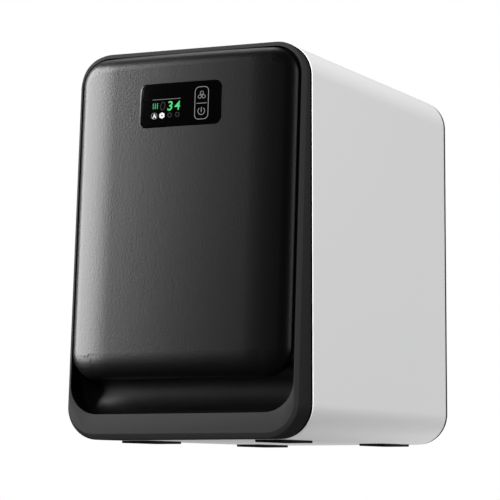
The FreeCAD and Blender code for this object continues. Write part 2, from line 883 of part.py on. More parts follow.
def rear():
    body = in_cabinet(new_body("rear_panel"))
    middle = s.shell_height / 2
    back = s.shell_depth
    inset = s.rear_inset
    plate = rounded(s.shell_width - 2 * inset, s.shell_height - 2 * inset, s.corner_radius - inset)
    pad(body, "XZ", (0, back, middle), plate, s.rear_thickness)
    rib = rounded(
        s.shell_width - 2 * inner_inset,
        s.shell_height - 2 * inner_inset,
        s.corner_radius - inner_inset,
    )
    pad(body, "XZ", (0, back - s.rear_rib, middle), rib, s.rear_rib)
    hollow_inset = inner_inset + s.rear_rib_wall
    hollow = rounded(
        s.shell_width - 2 * hollow_inset,
        s.shell_height - 2 * hollow_inset,
        s.corner_radius - hollow_inset,
    )
    pocket(body, "XZ", (0, back - s.rear_rib, middle), hollow, s.rear_rib)
    reach = half_width - s.post_inset
    post_length = back - chamber_outer_back
    levels = (s.chamber_floor + s.post_rise, s.shell_height - s.post_drop)
    posts = [(x, z) for z in levels for x in (-reach, reach)]
    for x, z in posts:
        pad(body, "XZ", (x, chamber_outer_back, z), disc(s.post_outer_radius), post_length)
    for z in (s.chamber_floor + s.vent_rise, s.shell_height - s.vent_drop):
        slot = rounded(s.vent_width, s.vent_slot, s.vent_slot * 0.45)
        cutter = pocket(body, "XZ", (0, back, z - 3 * s.vent_pitch), slot, s.rear_thickness)
        row_of(body, cutter, "Z_Axis", s.vent_pitch, 7)
    opening = rectangle(s.inlet_width + 2 * s.fit, s.inlet_height + 2 * s.fit)
    pocket(body, "XZ", (half_width - s.inlet_side, back, s.inlet_z), opening, s.rear_thickness)
    for x, z in posts:
        hole = disc(s.screw_radius + s.seat_clearance)
        pocket(body, "XZ", (x, chamber_outer_back, z), hole, post_length + s.rear_thickness)
    outside = back + s.rear_thickness - box_middle
    screws = []
    for i, (x, z) in enumerate(posts):
        level = z + s.foot_height
        inside = outside - 3 * s.screw_length
        shank = rod(f"rear_shank_{i}", (x, inside, level), "Y", s.screw_radius, 3 * s.screw_length)
        head = rod(f"rear_head_{i}", (x, outside, level), "Y", s.screw_head_radius, s.screw_head)
        screws.append(joined(f"rear_screw_{i}", [shank, head]))
    sub_part(group("rear_screws", screws), "rear_screws")
    inlet()


def inlet():
    """A panel inlet with a socket and three flat pins."""
    body = new_body("mains_inlet")
    in_cabinet(body, half_width - s.inlet_side, s.shell_depth, s.inlet_z)
    width, height, depth, wall = s.inlet_width, s.inlet_height, s.inlet_depth, s.inlet_wall
    outside = s.rear_thickness
    pad(body, "XZ", (0, outside - depth, 0), rectangle(width, height), depth)
    flange = rounded(width + 2 * s.inlet_flange, height + 2 * s.inlet_flange, s.inlet_flange)
    pad(body, "XZ", (0, outside, 0), flange, s.inlet_wall)
    socket_depth = depth - 2 * wall
    mouth = rounded(width - 2 * wall, height - 2 * wall, s.foot_radius)
    pocket(body, "XZ", (0, outside + wall - socket_depth, 0), mouth, socket_depth)
    pin = rectangle(wall, 2.4 * wall)
    for x, z in ((-width / 4, -height / 10), (width / 4, -height / 10), (0, height / 8)):
        pad(body, "XZ", (x, outside + wall - socket_depth, z), pin, socket_depth * 0.7)


def outlets():
    """Roof bushings: a filament bore below, a wider bore for a guide tube in the boss."""
    shank = s.chamber_roof
    shell_top = s.outlet_flange
    for spool in range(SPOOLS):
        body = new_body(f"filament_outlet_{spool + 1}")
        in_cabinet(body, outlet_x, spool_front + spool * spool_pitch, s.shell_height)
        boss = s.outlet_boss_radius
        seat = s.outlet_boss - s.tube_bore_depth
        revolve(body, [
            (s.filament_bore_radius, -shank),
            (s.outlet_shank_radius, -shank),
            (s.outlet_shank_radius, 0),
            (s.outlet_flange_radius, 0),
            (s.outlet_flange_radius, shell_top),
            (boss, shell_top),
            (boss, s.outlet_boss),
            (s.tube_bore_radius, s.outlet_boss),
            (s.tube_bore_radius, seat),
            (s.filament_bore_radius, seat),
        ])


def door_frame():
    """The surround: it carries on the sleeve's outline, ends in a bevelled leaning face, hollow behind."""
    body = doc.addObject("PartDesign::Body", "door_surround")
    in_cabinet(body)
    back = (0, -s.door_gap, s.shell_height / 2)
    leaning_height = s.shell_height / lean_cos
    face_height = leaning_height - face_bottom - s.bevel_top / lean_cos
    face_middle = front_point(face_bottom + face_height / 2, 0)
    loft = body.newObject("PartDesign::AdditiveLoft", "surround_loft")
    loft.Profile = draw_on(body, "XZ", back, rounded(s.shell_width, s.shell_height, s.corner_radius))
    shoulder = rounded(s.shell_width, leaning_height, s.corner_radius)
    face = rounded(s.shell_width - 2 * s.bevel_side, face_height, s.corner_radius - s.chin_rise)
    loft.Sections = [
        draw_on(body, "XZ", front_point(leaning_middle(s.bevel_depth), s.bevel_depth), shoulder, lean=True),
        draw_on(body, "XZ", face_middle, face, lean=True),
    ]
    loft.Ruled = True
    body.Tip = loft
    wall = s.door_wall
    skin = s.recess_depth + s.recess_floor
    hollow = body.newObject("PartDesign::SubtractiveLoft", "surround_hollow")
    inside = rounded(s.shell_width - 2 * wall, s.shell_height - 2 * wall, s.corner_radius - wall)
    hollow.Profile = draw_on(body, "XZ", back, inside)
    inside = rounded(s.shell_width - 2 * wall, leaning_height - 2 * wall, s.corner_radius - wall)
    hollow.Sections = [draw_on(body, "XZ", front_point(leaning_middle(skin), skin), inside, lean=True)]
    body.Tip = hollow
    recess = rounded(recess_width, recess_top - recess_bottom, recess_radius)
    recess_middle = front_point((recess_top + recess_bottom) / 2, 0)
    made = feature(body, "Pocket", draw_on(body, "XZ", recess_middle, recess, lean=True))
    bind(made, "Length", s.recess_depth)
    opening = rectangle(s.window_width, s.window_height)
    at = front_point(window_z, s.recess_depth)
    made = feature(body, "Pocket", draw_on(body, "XZ", at, opening, lean=True))
    bind(made, "Length", s.recess_floor)
    lug_reach = 2 * s.hinge_inset
    for z in hinge_levels:
        lug = rectangle(lug_reach, s.hinge_arm_height + 2 * s.hinge_lug_height)
        depth = s.hinge_forward + s.hinge_eye_radius
        pad(body, "XZ", (hinge_x, -s.door_gap - depth, z), lug, depth)
    for x, z in door_screw_places():
        boss = s.screw_head_radius + s.screw_radius
        start = s.recess_depth + s.recess_floor / 2 + z * lean_sin / lean_cos - front_depth
        pad(body, "XZ", (x, start, z), disc(boss), -s.door_gap - s.liner_thickness - start)

    tools = [grip_envelope("grip_room", s.fit), hinge_relief()]
    tools += hinge_notches("surround")
    tools += [hinge_pin(f"pin_room_{i}", z, s.seat_clearance) for i, z in enumerate(hinge_levels)]
    tools += door_screw_shapes("boss", s.seat_clearance)
    sub_part(cut("door_frame", body, joined("door_frame_cuts", tools)), "door_frame")


def leaning_middle(depth):
    """The middle of the sleeve's height, measured up the lean at a depth behind the door's face."""
    return (s.shell_height / 2 + depth * lean_sin) / lean_cos


def door_screw_places():
    reach = chamber_width / 2 - s.seal_width - 2 * s.screw_head_radius
    low = s.rim_bottom
    return [(x, z) for z in (low, s.shell_height / 2) for x in (-reach, reach)]


def door_screw_shapes(name, clearance):
    shapes = []
    for i, (x, z) in enumerate(door_screw_places()):
        length = s.screw_length + s.liner_thickness
        at = (x, -s.door_gap - length - box_middle, z + s.foot_height)
        shapes.append(rod(f"{name}_shank_{i}", at, "Y", s.screw_radius + clearance, length))
    return shapes


def hinge_relief():
    """The door's rear left edge is rounded about the hinge axis, so that it swings past the sleeve."""
    x, y = hinge_x, hinge_y - box_middle
    reach = s.hinge_inset + s.hinge_forward
    corner = box("relief_block", (x - reach, y, s.foot_height), reach, reach, s.shell_height)
    barrel = rod("relief_barrel", (x, y, s.foot_height), "Z", s.hinge_forward, s.shell_height)
    return cut("relief", corner, barrel)


def hinge_notches(name):
    """Room for the cabinet's hinge arms, open to the back and to the side of the door."""
    notches = []
    room = s.hinge_eye_radius + s.hinge_clearance
    height = s.hinge_arm_height + 2 * s.hinge_clearance
    for i, z in enumerate(hinge_levels):
        x, y = hinge_x - 2 * s.hinge_inset, hinge_y - room - box_middle
        at = (x, y, z + s.foot_height - height / 2)
        notch_width = 2 * s.hinge_inset + room
        notch_depth = s.hinge_forward + 2 * room
        notches.append(box(f"{name}_notch_{i}", at, notch_width, notch_depth, height))
    return notches


def hinge_pin(name, z, clearance):
    length = s.hinge_arm_height + 2 * s.hinge_lug_height - 2 * s.hinge_pin_radius
    at = (hinge_x, hinge_y - box_middle, z + s.foot_height - length / 2)
    return rod(name, at, "Z", s.hinge_pin_radius + clearance, length)


def hinges():
    for name, z in zip(("lower", "upper"), hinge_levels):
        sub_part(hinge_pin(f"hinge_pin_{name}", z, 0), f"hinge_pin_{name}")
        base = z + s.foot_height - s.hinge_arm_height / 2
        y = hinge_y - box_middle
        eye = s.hinge_eye_radius
        arm_width = 2 * eye - s.hinge_clearance
        reach = s.bulkhead_set_back - hinge_y
        tab = s.hinge_arm_height + 2 * s.hinge_lug_height
        tab_y = y + reach - s.liner_thickness
        left = hinge_x - eye + s.hinge_clearance
        tab_at = (left, tab_y, z + s.foot_height - tab / 2)
        pieces = [
            rod(f"hinge_eye_{name}", (hinge_x, y, base), "Z", eye, s.hinge_arm_height),
            box(f"hinge_arm_{name}", (left, y, base), arm_width, reach, s.hinge_arm_height),
            box(f"hinge_tab_{name}", tab_at, arm_width, s.liner_thickness, tab),
        ]
        bore = rod(f"hinge_bore_{name}", (hinge_x, y, base), "Z",
                   s.hinge_pin_radius + s.running_clearance, s.hinge_arm_height)
        blank = joined(f"hinge_blank_{name}", pieces)
        sub_part(cut(f"hinge_bracket_{name}", blank, bore), f"hinge_bracket_{name}")


def recess_prism(name, grow, start, depth):
    """A prism on the outline of the panel's recess, grown all round."""
    body = doc.addObject("PartDesign::Body", name)
    on_front(body)
    height = recess_top - recess_bottom + 2 * grow
    wide = rounded(recess_width + 2 * grow, height, recess_radius + grow)
    pad(body, "XZ", (0, start, (recess_top + recess_bottom) / 2), wide, depth)
    return body


def grip_envelope(name, clearance):
    """What the finger grip fills behind the rim, up to a line behind the panel's lower lip."""
    reach = s.grip_axis_depth + grip_radius + s.grip_wall + clearance
    grow = s.grip_wall - s.fit + clearance
    whole_recess = recess_prism(f"{name}_outline", grow, s.recess_depth, reach - s.recess_depth)
    below = doc.addObject("PartDesign::Body", f"{name}_below")
    on_front(below)
    low = recess_bottom - s.rim_bottom
    top = panel_bottom + s.grip_tuck + s.grip_wall + clearance
    pad(below, "XY", (0, reach / 2, low), rectangle(s.shell_width, 2 * reach), top - low)
    return shared(name, [whole_recess, below])


def grip():
    """A trough of even wall: a round channel along the width, whose mouth is the recess itself."""
    shapes = []
    for name, radius in (("grip_skin", grip_radius + s.grip_wall), ("grip_hollow", grip_radius)):
        barrel = doc.addObject("PartDesign::Body", name)
        on_front(barrel)
        pad(barrel, "YZ", (-half_width, s.grip_axis_depth, grip_axis), disc(radius), s.shell_width)
        shapes.append(barrel)
    mouth = recess_prism("grip_mouth", 0, -grip_radius, 4 * grip_radius)
    skin = shared("grip_shell", [grip_envelope("grip_outer", 0), shapes[0]])
    hollow = shared("grip_finger_room", [mouth, shapes[1]])
    sub_part(cut("finger_grip", skin, hollow), "finger_grip")


def crowned(inset):
    """Section across the panel: a nearly flat bow, and a tighter flank that falls to either edge."""
    half = panel_width / 2
    start = half - s.panel_flank_width
    slope = start / s.panel_bow
    upright = root(1 - slope * slope)
    bow_y = s.panel_bow - s.panel_front
    flank_x = start - s.panel_flank * slope
    flank_y = bow_y - (s.panel_bow - s.panel_flank) * upright
    bow = s.panel_bow - inset
    flank = number(s.panel_flank - inset)
    joint_x = bow * slope
    end_x = half + s.panel_gap
    back_y = 3 * s.recess_depth

    def draw(sketch):
        x, y = number(flank_x), number(flank_y)
        ahead = -math.pi / 2
        inner = math.asin(number(slope))
        outer = math.asin((number(end_x) - x) / flank)
        side = number(end_x)
        end_y = y - flank * math.cos(outer)
        arcs = [
            (Vector(-x, y, 0), flank, ahead - outer, ahead - inner),
            (Vector(0, number(bow_y), 0), number(bow), ahead - inner, ahead + inner),
            (Vector(x, y, 0), flank, ahead + inner, ahead + outer),
        ]
        for centre, radius, first, last in arcs:
            circle = Part.Circle(centre, Vector(0, 0, 1), radius)
            sketch.addGeometry(Part.ArcOfCircle(circle, first, last))
        corners = [(side, end_y), (side, number(back_y)), (-side, number(back_y)), (-side, end_y)]
        for (x1, y1), (x2, y2) in zip(corners, corners[1:]):
            sketch.addGeometry(Part.LineSegment(Vector(x1, y1, 0), Vector(x2, y2, 0)))
        for i in range(6):
            sketch.addConstraint(Sketcher.Constraint("Coincident", i, 2, (i + 1) % 6, 1))
        sketch.addConstraint(Sketcher.Constraint("PointOnObject", 1, 3, -2))
        for line, kind in ((3, "Vertical"), (4, "Horizontal"), (5, "Vertical")):
            sketch.addConstraint(Sketcher.Constraint(kind, line))
        dimension(sketch, ("Radius", 1), "bow", bow)
        dimension(sketch, ("DistanceY", -1, 1, 1, 3), "bow_y", bow_y)
        dimension(sketch, ("DistanceX", -1, 1, 1, 2), "joint_right", joint_x)
        dimension(sketch, ("DistanceX", 1, 1, -1, 1), "joint_left", joint_x)
        dimension(sketch, ("DistanceX", -1, 1, 2, 3), "flank_right", flank_x)
        dimension(sketch, ("DistanceX", 0, 3, -1, 1), "flank_left", flank_x)
        dimension(sketch, ("DistanceY", -1, 1, 2, 3), "flank_right_y", flank_y)
        dimension(sketch, ("DistanceY", -1, 1, 0, 3), "flank_left_y", flank_y)
        dimension(sketch, ("DistanceX", -1, 1, 2, 2), "end_right", end_x)
        dimension(sketch, ("DistanceX", 0, 1, -1, 1), "end_left", end_x)
        dimension(sketch, ("DistanceY", -1, 1, 3, 2), "back", back_y)
    return draw


def pillow(name, inset, back):
    """The panel's form: a rounded outline, a front that falls to both sides, and rolled edges."""
    body = doc.addObject("PartDesign::Body", f"{name}_outline")
    on_front(body)
    height = panel_top - panel_bottom
    middle = (panel_top + panel_bottom) / 2
    front = s.panel_front + s.panel_wall
    across = rounded(panel_width - 2 * inset, height - 2 * inset, panel_radius - inset)
    pad(body, "XZ", (0, -front, middle), across, front + back)
    barrel = doc.addObject("PartDesign::Body", f"{name}_crown")
    on_front(barrel)
    pad(barrel, "XY", (0, 0, panel_bottom - s.panel_gap), crowned(inset), height + 2 * s.panel_gap)
    blank = shared(f"{name}_blank", [body, barrel])
    doc.recompute()
    rolled = doc.addObject("PartDesign::Body", name)
    rolled.BaseFeature = blank
    roll = rolled.newObject("PartDesign::Fillet", f"{name}_roll")
    roll.Base = (rolled.Group[0], front_edges(blank.Shape))
    bind(roll, "Radius", s.panel_roll - inset)
    rolled.Tip = roll
    return rolled


def front_edges(shape):
    """The outer edges of the bowed front, by their names in the shape."""
    bowed = [f for f in shape.Faces if isinstance(f.Surface, Part.Cylinder)]
    bowed = [f for f in bowed if f.Surface.Radius > number(s.panel_flank) / 2]
    names = []
    for i, edge in enumerate(shape.Edges, start=1):
        sides = [f for f in bowed if any(edge.isSame(other) for other in f.Edges)]
        if len(sides) == 1:
            names.append(f"Edge{i}")
    return names


def front_panel():
    skin = pillow("panel_skin", 0, 2 * s.recess_depth)
    room = pillow("panel_room", s.panel_wall, 2 * s.recess_depth)
    hollow = cut("panel_hollow", skin, room)
    window = doc.addObject("PartDesign::Body", "window_room")
    on_front(window)
    fit = 2 * s.fit
    seat = rounded(s.window_width + fit, s.window_height + fit, s.window_radius + s.fit)
    front = window_front()
    pad(window, "XZ", (0, front - s.panel_wall, window_z), seat, s.panel_wall + s.window_thickness)
    ledge = 2 * s.window_ledge
    through = rectangle(s.window_width - ledge, s.window_height - ledge)
    pad(window, "XZ", (0, front, window_z), through, s.panel_front)
    posts = []
    for i, (x, z) in enumerate(board_posts()):
        post = doc.addObject("PartDesign::Body", f"board_post_{i}")
        on_front(post)
        start = s.panel_wall / 2 - s.panel_front
        pad(post, "XZ", (x, start, z), disc(s.post_radius), board_front() - start)
        posts.append(post)
    with_posts = joined("panel_with_posts", [hollow] + posts)
    behind = doc.addObject("PartDesign::Body", "panel_behind")
    on_front(behind)
    beyond = rectangle(s.shell_width, 2 * s.shell_height)
    pad(behind, "XZ", (0, s.recess_depth, window_z), beyond, 2 * s.recess_depth)
    sub_part(cut("front_panel", with_posts, group("panel_cutters", [window, behind])), "front_panel")


def window_front():
    return s.window_sink - s.panel_front


def board_front():
    return window_front() + s.window_thickness + s.module_depth


def board_posts():
    x = s.window_width / 2 + s.post_radius
    z = s.window_height / 2 + s.post_radius
    return [(-x, window_z - z), (x, window_z - z), (x, window_z + z), (-x, window_z + z)]


def display():
    glass = on_front(new_body("display_window"))
    front = window_front()
    pane = rounded(s.window_width, s.window_height, s.window_radius)
    pad(glass, "XZ", (0, front, window_z), pane, s.window_thickness)
    module = on_front(new_body("display_module"))
    margin = 2 * s.module_margin
    frame = rectangle(s.window_width - margin, s.window_height - margin)
    pad(module, "XZ", (0, front + s.window_thickness, window_z), frame, s.module_depth)
    board = on_front(new_body("display_board"))
    margin = 2 * s.board_margin
    pad(board, "XZ", (0, board_front(), window_z),
        rounded(s.window_width + margin, s.window_height + margin, s.foot_radius), s.board_thickness)
    plug = rectangle(s.window_width / 5, s.window_height / 5)
    pad(board, "XZ", (0, board_front(), window_z), plug, s.board_thickness + s.module_depth)


def door_liner():
    body = doc.addObject("PartDesign::Body", "liner_sheet")
    in_cabinet(body)
    inset = s.door_wall + 3 * s.fit
    middle = s.shell_height / 2
    front = -s.door_gap - s.liner_thickness
    panel = rounded(s.shell_width - 2 * inset, s.shell_height - 2 * inset, s.corner_radius - inset)
    pad(body, "XZ", (0, front, middle), panel, s.liner_thickness)
    field_width = mouth_width - 2 * s.mouth_radius
    field_height = mouth_height - 2 * s.mouth_radius
    field = rounded(field_width, field_height, s.mouth_radius)
    pocket(body, "XZ", (0, -s.door_gap - s.liner_thickness / 2, chamber_middle), field, s.liner_thickness / 2)
    for z in magnet_levels:
        seat = rectangle(s.magnet_width + 2 * s.seat_clearance, s.magnet_length + 2 * s.seat_clearance)
        pocket(body, "XZ", (magnet_x(), front, z), seat, s.liner_thickness)
    tools = hinge_notches("liner") + door_screw_shapes("liner", s.seat_clearance)
    tools += [lug_room(i, z) for i, z in enumerate(hinge_levels)]
    sub_part(cut("door_liner", body, joined("liner_cuts", tools)), "door_liner")

    seal = in_cabinet(new_body("door_seal"))
    gap = s.seal_offset
    width, height, radius = mouth_width + 2 * gap, mouth_height + 2 * gap, s.mouth_radius + gap
    thickness = s.door_gap + s.bulkhead_set_back - s.seal_gap
    start = (0, -s.door_gap, chamber_middle)
    band = 2 * s.seal_width
    pad(seal, "XZ", start, rounded(width + band, height + band, radius + s.seal_width), thickness)
    pocket(seal, "XZ", start, rounded(width, height, radius), thickness)

    magnets, strikes = [], []
    for i, z in enumerate(magnet_levels):
        x = magnet_x() - s.magnet_width / 2
        level = z - s.magnet_length / 2 + s.foot_height
        strike_y = s.bulkhead_set_back - s.strike_thickness
        back = strike_y - s.seal_gap
        at = (x, back - s.magnet_thickness - box_middle, level)
        magnets.append(box(f"magnet_{i}", at, s.magnet_width, s.magnet_thickness, s.magnet_length))
        at = (x, strike_y - box_middle, level)
        strikes.append(box(f"strike_{i}", at, s.magnet_width, s.strike_thickness, s.magnet_length))
    sub_part(group("door_magnets", magnets), "door_magnets")
    sub_part(group("strike_plates", strikes), "strike_plates")

    screws = []
    for i, (x, z) in enumerate(door_screw_places()):
        at = (x, -s.door_gap - box_middle, z + s.foot_height)
        head = rod(f"door_head_{i}", at, "Y", s.screw_head_radius, s.screw_head)
        screws.append(joined(f"door_screw_{i}", [door_screw_shapes(f"door_{i}", 0)[i], head]))
    sub_part(group("door_screws", screws), "door_screws")


def lug_room(i, z):
    """The liner stops short of the surround's hinge lugs."""
    reach = 2 * s.hinge_inset + 2 * s.fit
    height = s.hinge_arm_height + 2 * s.hinge_lug_height + 2 * s.fit
    at = (hinge_x - reach / 2, hinge_y - box_middle, z + s.foot_height - height / 2)
    return box(f"lug_room_{i}", at, reach, 2 * s.hinge_forward, height)


def magnet_x():
    return half_width - s.magnet_inset


outer_shell()
feet()
bulkhead()
chamber()
grilles()
service_bay()
roller_lines()
fan()
heater()
electronics()
rear()
outlets()
door_frame()
hinges()
grip()
front_panel()
display()
door_liner()
doc.recompute()

for item in doc.Objects:
    if "Invalid" in item.State or "Error" in item.State:
        raise RuntimeError(f"{item.Label} failed: {item.State}")
    if item.TypeId == "PartDesign::Pocket" and item.Shape.Volume >= item.BaseFeature.Shape.Volume:
        raise RuntimeError(f"{item.Label} cuts nothing")
for item in sub_parts:
    if item.Shape.isNull() or not item.Shape.isValid():
        raise RuntimeError(f"{item.Label} has no valid shape")

os.makedirs("parts", exist_ok=True)
for item in sub_parts:
    item.Shape.exportStep(f"parts/{item.Label}.step")
print(len(sub_parts), "sub-parts written")
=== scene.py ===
import math

import bpy
from mathutils import Matrix, Vector


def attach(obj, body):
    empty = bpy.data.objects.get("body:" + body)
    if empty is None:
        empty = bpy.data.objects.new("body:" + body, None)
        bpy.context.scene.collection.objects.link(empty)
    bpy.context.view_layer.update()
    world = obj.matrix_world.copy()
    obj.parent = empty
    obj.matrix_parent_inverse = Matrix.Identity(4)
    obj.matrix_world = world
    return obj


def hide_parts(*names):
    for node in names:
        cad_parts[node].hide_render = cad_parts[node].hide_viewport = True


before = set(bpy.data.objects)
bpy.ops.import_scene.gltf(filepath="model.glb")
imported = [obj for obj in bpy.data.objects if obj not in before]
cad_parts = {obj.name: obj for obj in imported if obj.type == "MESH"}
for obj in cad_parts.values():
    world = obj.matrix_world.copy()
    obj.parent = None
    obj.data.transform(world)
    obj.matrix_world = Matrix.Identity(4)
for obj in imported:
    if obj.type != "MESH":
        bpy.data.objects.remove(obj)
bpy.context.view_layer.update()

bpy.context.scene.view_settings.view_transform = "Standard"


# Sleeve: one rounded tube of pale, coated sheet, open at the front and the back.
# It is drawn as a bar, rounded along its length, and hollowed to an even wall.
# Its ends are eased to catch a thin line of light, and stop short to leave two dark seams.
mm = 0.001
tiny = 0.01 * mm
sleeve_width = 255 * mm
sleeve_height = 400 * mm
sleeve_depth = 406 * mm
sleeve_corner = 35 * mm
sleeve_wall = 2.5 * mm
sleeve_ease = 0.5 * mm
sleeve_seam = 2.2 * mm
end_support = 1.6 * mm
foot_height = 2.5 * mm
sleeve_front = -176.2535 * mm
sleeve_back = sleeve_front + sleeve_depth
sleeve_start = sleeve_front + sleeve_seam
sleeve_end = sleeve_back - sleeve_seam
sleeve_top = foot_height + sleeve_height


def block(name, low, high):
    """Adds a box between two corners, with nothing else selected."""
    if bpy.context.mode != "OBJECT":
        bpy.ops.object.mode_set(mode="OBJECT")
    bpy.ops.object.select_all(action="DESELECT")
    low, high = Vector(low), Vector(high)
    bpy.ops.mesh.primitive_cube_add(size=1, location=(low + high) / 2)
    piece = bpy.context.object
    piece.name = piece.data.name = name
    piece.scale = high - low
    bpy.ops.object.transform_apply(location=True, rotation=False, scale=True)
    return piece


def work_on(piece):
    """Makes one piece the selected, active object, in object mode."""
    if bpy.context.mode != "OBJECT":
        bpy.ops.object.mode_set(mode="OBJECT")
    bpy.ops.object.select_all(action="DESELECT")
    piece.select_set(True)
    bpy.context.view_layer.objects.active = piece


def pick(piece, kind, wanted):
    """Selects the vertices, edges or faces that fit, and stays in edit mode."""
    work_on(piece)
    mesh = piece.data
    for layer in (mesh.vertices, mesh.edges, mesh.polygons):
        layer.foreach_set("select", [False] * len(layer))
    if kind == "VERT":
        for vertex in mesh.vertices:
            vertex.select = wanted(vertex.co)
    elif kind == "EDGE":
        for edge in mesh.edges:
            start, end = (mesh.vertices[i].co for i in edge.vertices)
            edge.select = wanted(start, end)
    else:
        for face in mesh.polygons:
            face.select = wanted(face.center, face.normal)
    bpy.context.tool_settings.mesh_select_mode = tuple(kind == k for k in ("VERT", "EDGE", "FACE"))
    bpy.ops.object.mode_set(mode="EDIT")


def along(axis):
    """A test for edges that run along one axis."""
    others = [i for i in range(3) if i != axis]
    return lambda a, b: all(abs(a[i] - b[i]) < tiny for i in others) and abs(a[axis] - b[axis]) > 10 * tiny


def round_edges(piece, wanted, radius, segments):
    pick(piece, "EDGE", wanted)
    bpy.ops.mesh.bevel(
        offset=radius, offset_type="OFFSET", segments=segments, profile=0.5, clamp_overlap=True
    )
    bpy.ops.object.mode_set(mode="OBJECT")


def smooth(piece, angle=35):
    work_on(piece)
    bpy.ops.object.shade_smooth_by_angle(angle=math.radians(angle))


def surface(name, colour, roughness, grain=0.0006, depth=0.02, metallic=0.0, specular=0.5):
    """A plain finish with a fine grain, which lies in the piece's own coordinates."""
    material = bpy.data.materials.new(name)
    material.use_nodes = True
    nodes, links = material.node_tree.nodes, material.node_tree.links
    shader = nodes["Principled BSDF"]
    shader.inputs["Base Color"].default_value = (*colour, 1)
    shader.inputs["Metallic"].default_value = metallic
    shader.inputs["Specular IOR Level"].default_value = specular
    place = nodes.new("ShaderNodeTexCoord")
    speckle = nodes.new("ShaderNodeTexNoise")
    speckle.inputs["Scale"].default_value = 1 / grain
    speckle.inputs["Detail"].default_value = 2
    links.new(place.outputs["Object"], speckle.inputs["Vector"])
    wear = nodes.new("ShaderNodeMapRange")
    wear.inputs["To Min"].default_value = roughness - 0.04
    wear.inputs["To Max"].default_value = roughness + 0.04
    links.new(speckle.outputs["Fac"], wear.inputs["Value"])
    links.new(wear.outputs["Result"], shader.inputs["Roughness"])
    bump = nodes.new("ShaderNodeBump")
    bump.inputs["Strength"].default_value = depth
    bump.inputs["Distance"].default_value = 0.0005
    links.new(speckle.outputs["Fac"], bump.inputs["Height"])
    links.new(bump.outputs["Normal"], shader.inputs["Normal"])
    return material


def dress(piece, material):
    piece.data.materials.clear()
    piece.data.materials.append(material)


def dress_nodes(names, material):
    """Gives CAD nodes their finish where they are."""
    for name in names:
        dress(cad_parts[name], material)


def stand_for(piece, body, nodes):
    """The piece moves with a body and is shown in place of CAD nodes."""
    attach(piece, body)
    for node in nodes:
        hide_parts(node)


sleeve = block(
    "sleeve",
    (-sleeve_width / 2, sleeve_start, foot_height),
    (sleeve_width / 2, sleeve_end, sleeve_top),
)
round_edges(sleeve, along(1), sleeve_corner, 28)
pick(sleeve, "FACE", lambda centre, normal: abs(normal.y) > 0.9)
bpy.ops.mesh.inset(thickness=sleeve_wall, use_individual=True)
bpy.ops.mesh.bridge_edge_loops()
bpy.ops.object.mode_set(mode="OBJECT")
for rim in (sleeve_start, sleeve_end):
    round_edges(sleeve, lambda a, b: abs(a.y - rim) < tiny and abs(b.y - rim) < tiny, sleeve_ease, 3)
for level in (sleeve_start + end_support, sleeve_end - end_support):
    pick(sleeve, "FACE", lambda centre, normal: True)
    bpy.ops.mesh.bisect(plane_co=(0, level, 0), plane_no=(0, 1, 0))
bpy.ops.object.mode_set(mode="OBJECT")
smooth(sleeve)
sleeve_coat = surface("pale coated sheet", (0.76, 0.76, 0.765), 0.42, grain=0.0005, depth=0.015)
dress(sleeve, sleeve_coat)
stand_for(sleeve, "cabinet", ["outer_shell"])


# Feet: four flat pads of black rubber under the sleeve, glued on.
# Each is a low block with round corners and a softened lower edge.
foot_width = 31 * mm
foot_length = 83 * mm
foot_corner = 4 * mm
foot_ease = 0.7 * mm
foot_x = 75 * mm
front_foot_set = 52 * mm
rear_foot_set = 64 * mm
foot_places = {"front": sleeve_front + front_foot_set, "rear": sleeve_back - rear_foot_set}
foot_rubber = surface("black rubber", (0.004, 0.004, 0.004), 0.75, grain=0.0004, depth=0.05)

for end, y in foot_places.items():
    for side, x in (("left", -foot_x), ("right", foot_x)):
        foot = block(
            f"foot_pad_{end}_{side}",
            (x - foot_width / 2, y - foot_length / 2, 0),
            (x + foot_width / 2, y + foot_length / 2, foot_height),
        )
        round_edges(foot, along(2), foot_corner, 8)
        round_edges(foot, lambda a, b: a.z < tiny and b.z < tiny, foot_ease, 3)
        smooth(foot)
        dress(foot, foot_rubber)
        stand_for(foot, "cabinet", [f"foot_{end}_{side}"])


# Back: a black moulded panel set against the sleeve's rear end, with two banks of air slots.
# Four screws hold it to posts behind the chamber, and the mains inlet clips into a lower corner.
# Its edge reaches almost to the sleeve's outline, and shows beside it as a thin dark line.
moulded_black = surface("moulded black", (0.02, 0.02, 0.021), 0.5, grain=0.0007, depth=0.08)
screw_steel = surface("bright steel", (0.6, 0.6, 0.61), 0.28, grain=0.0003, depth=0.01, metallic=1.0)
dress_nodes(["rear_panel", "mains_inlet"], moulded_black)
dress_nodes(["rear_screws"], screw_steel)
edge_inset = 0.3 * mm
edge_depth = 2.9 * mm
edge_width = 1.5 * mm
rear_edge = block(
    "rear_panel_edge",
    (edge_inset - sleeve_width / 2, sleeve_end, foot_height + edge_inset),
    (sleeve_width / 2 - edge_inset, sleeve_back + edge_depth, sleeve_top - edge_inset),
)
round_edges(rear_edge, along(1), sleeve_corner - edge_inset, 28)
pick(rear_edge, "FACE", lambda centre, normal: abs(normal.y) > 0.9)
bpy.ops.mesh.inset(thickness=edge_width, use_individual=True)
bpy.ops.mesh.bridge_edge_loops()
bpy.ops.object.mode_set(mode="OBJECT")
smooth(rear_edge)
dress(rear_edge, moulded_black)
stand_for(rear_edge, "cabinet", [])


# Roof outlets: four black bushings on the left of the roof, one over each spool.
# A guide tube pushes into the boss of each.
outlets = [f"filament_outlet_{i}" for i in (1, 2, 3, 4)]
dress_nodes(outlets, moulded_black)


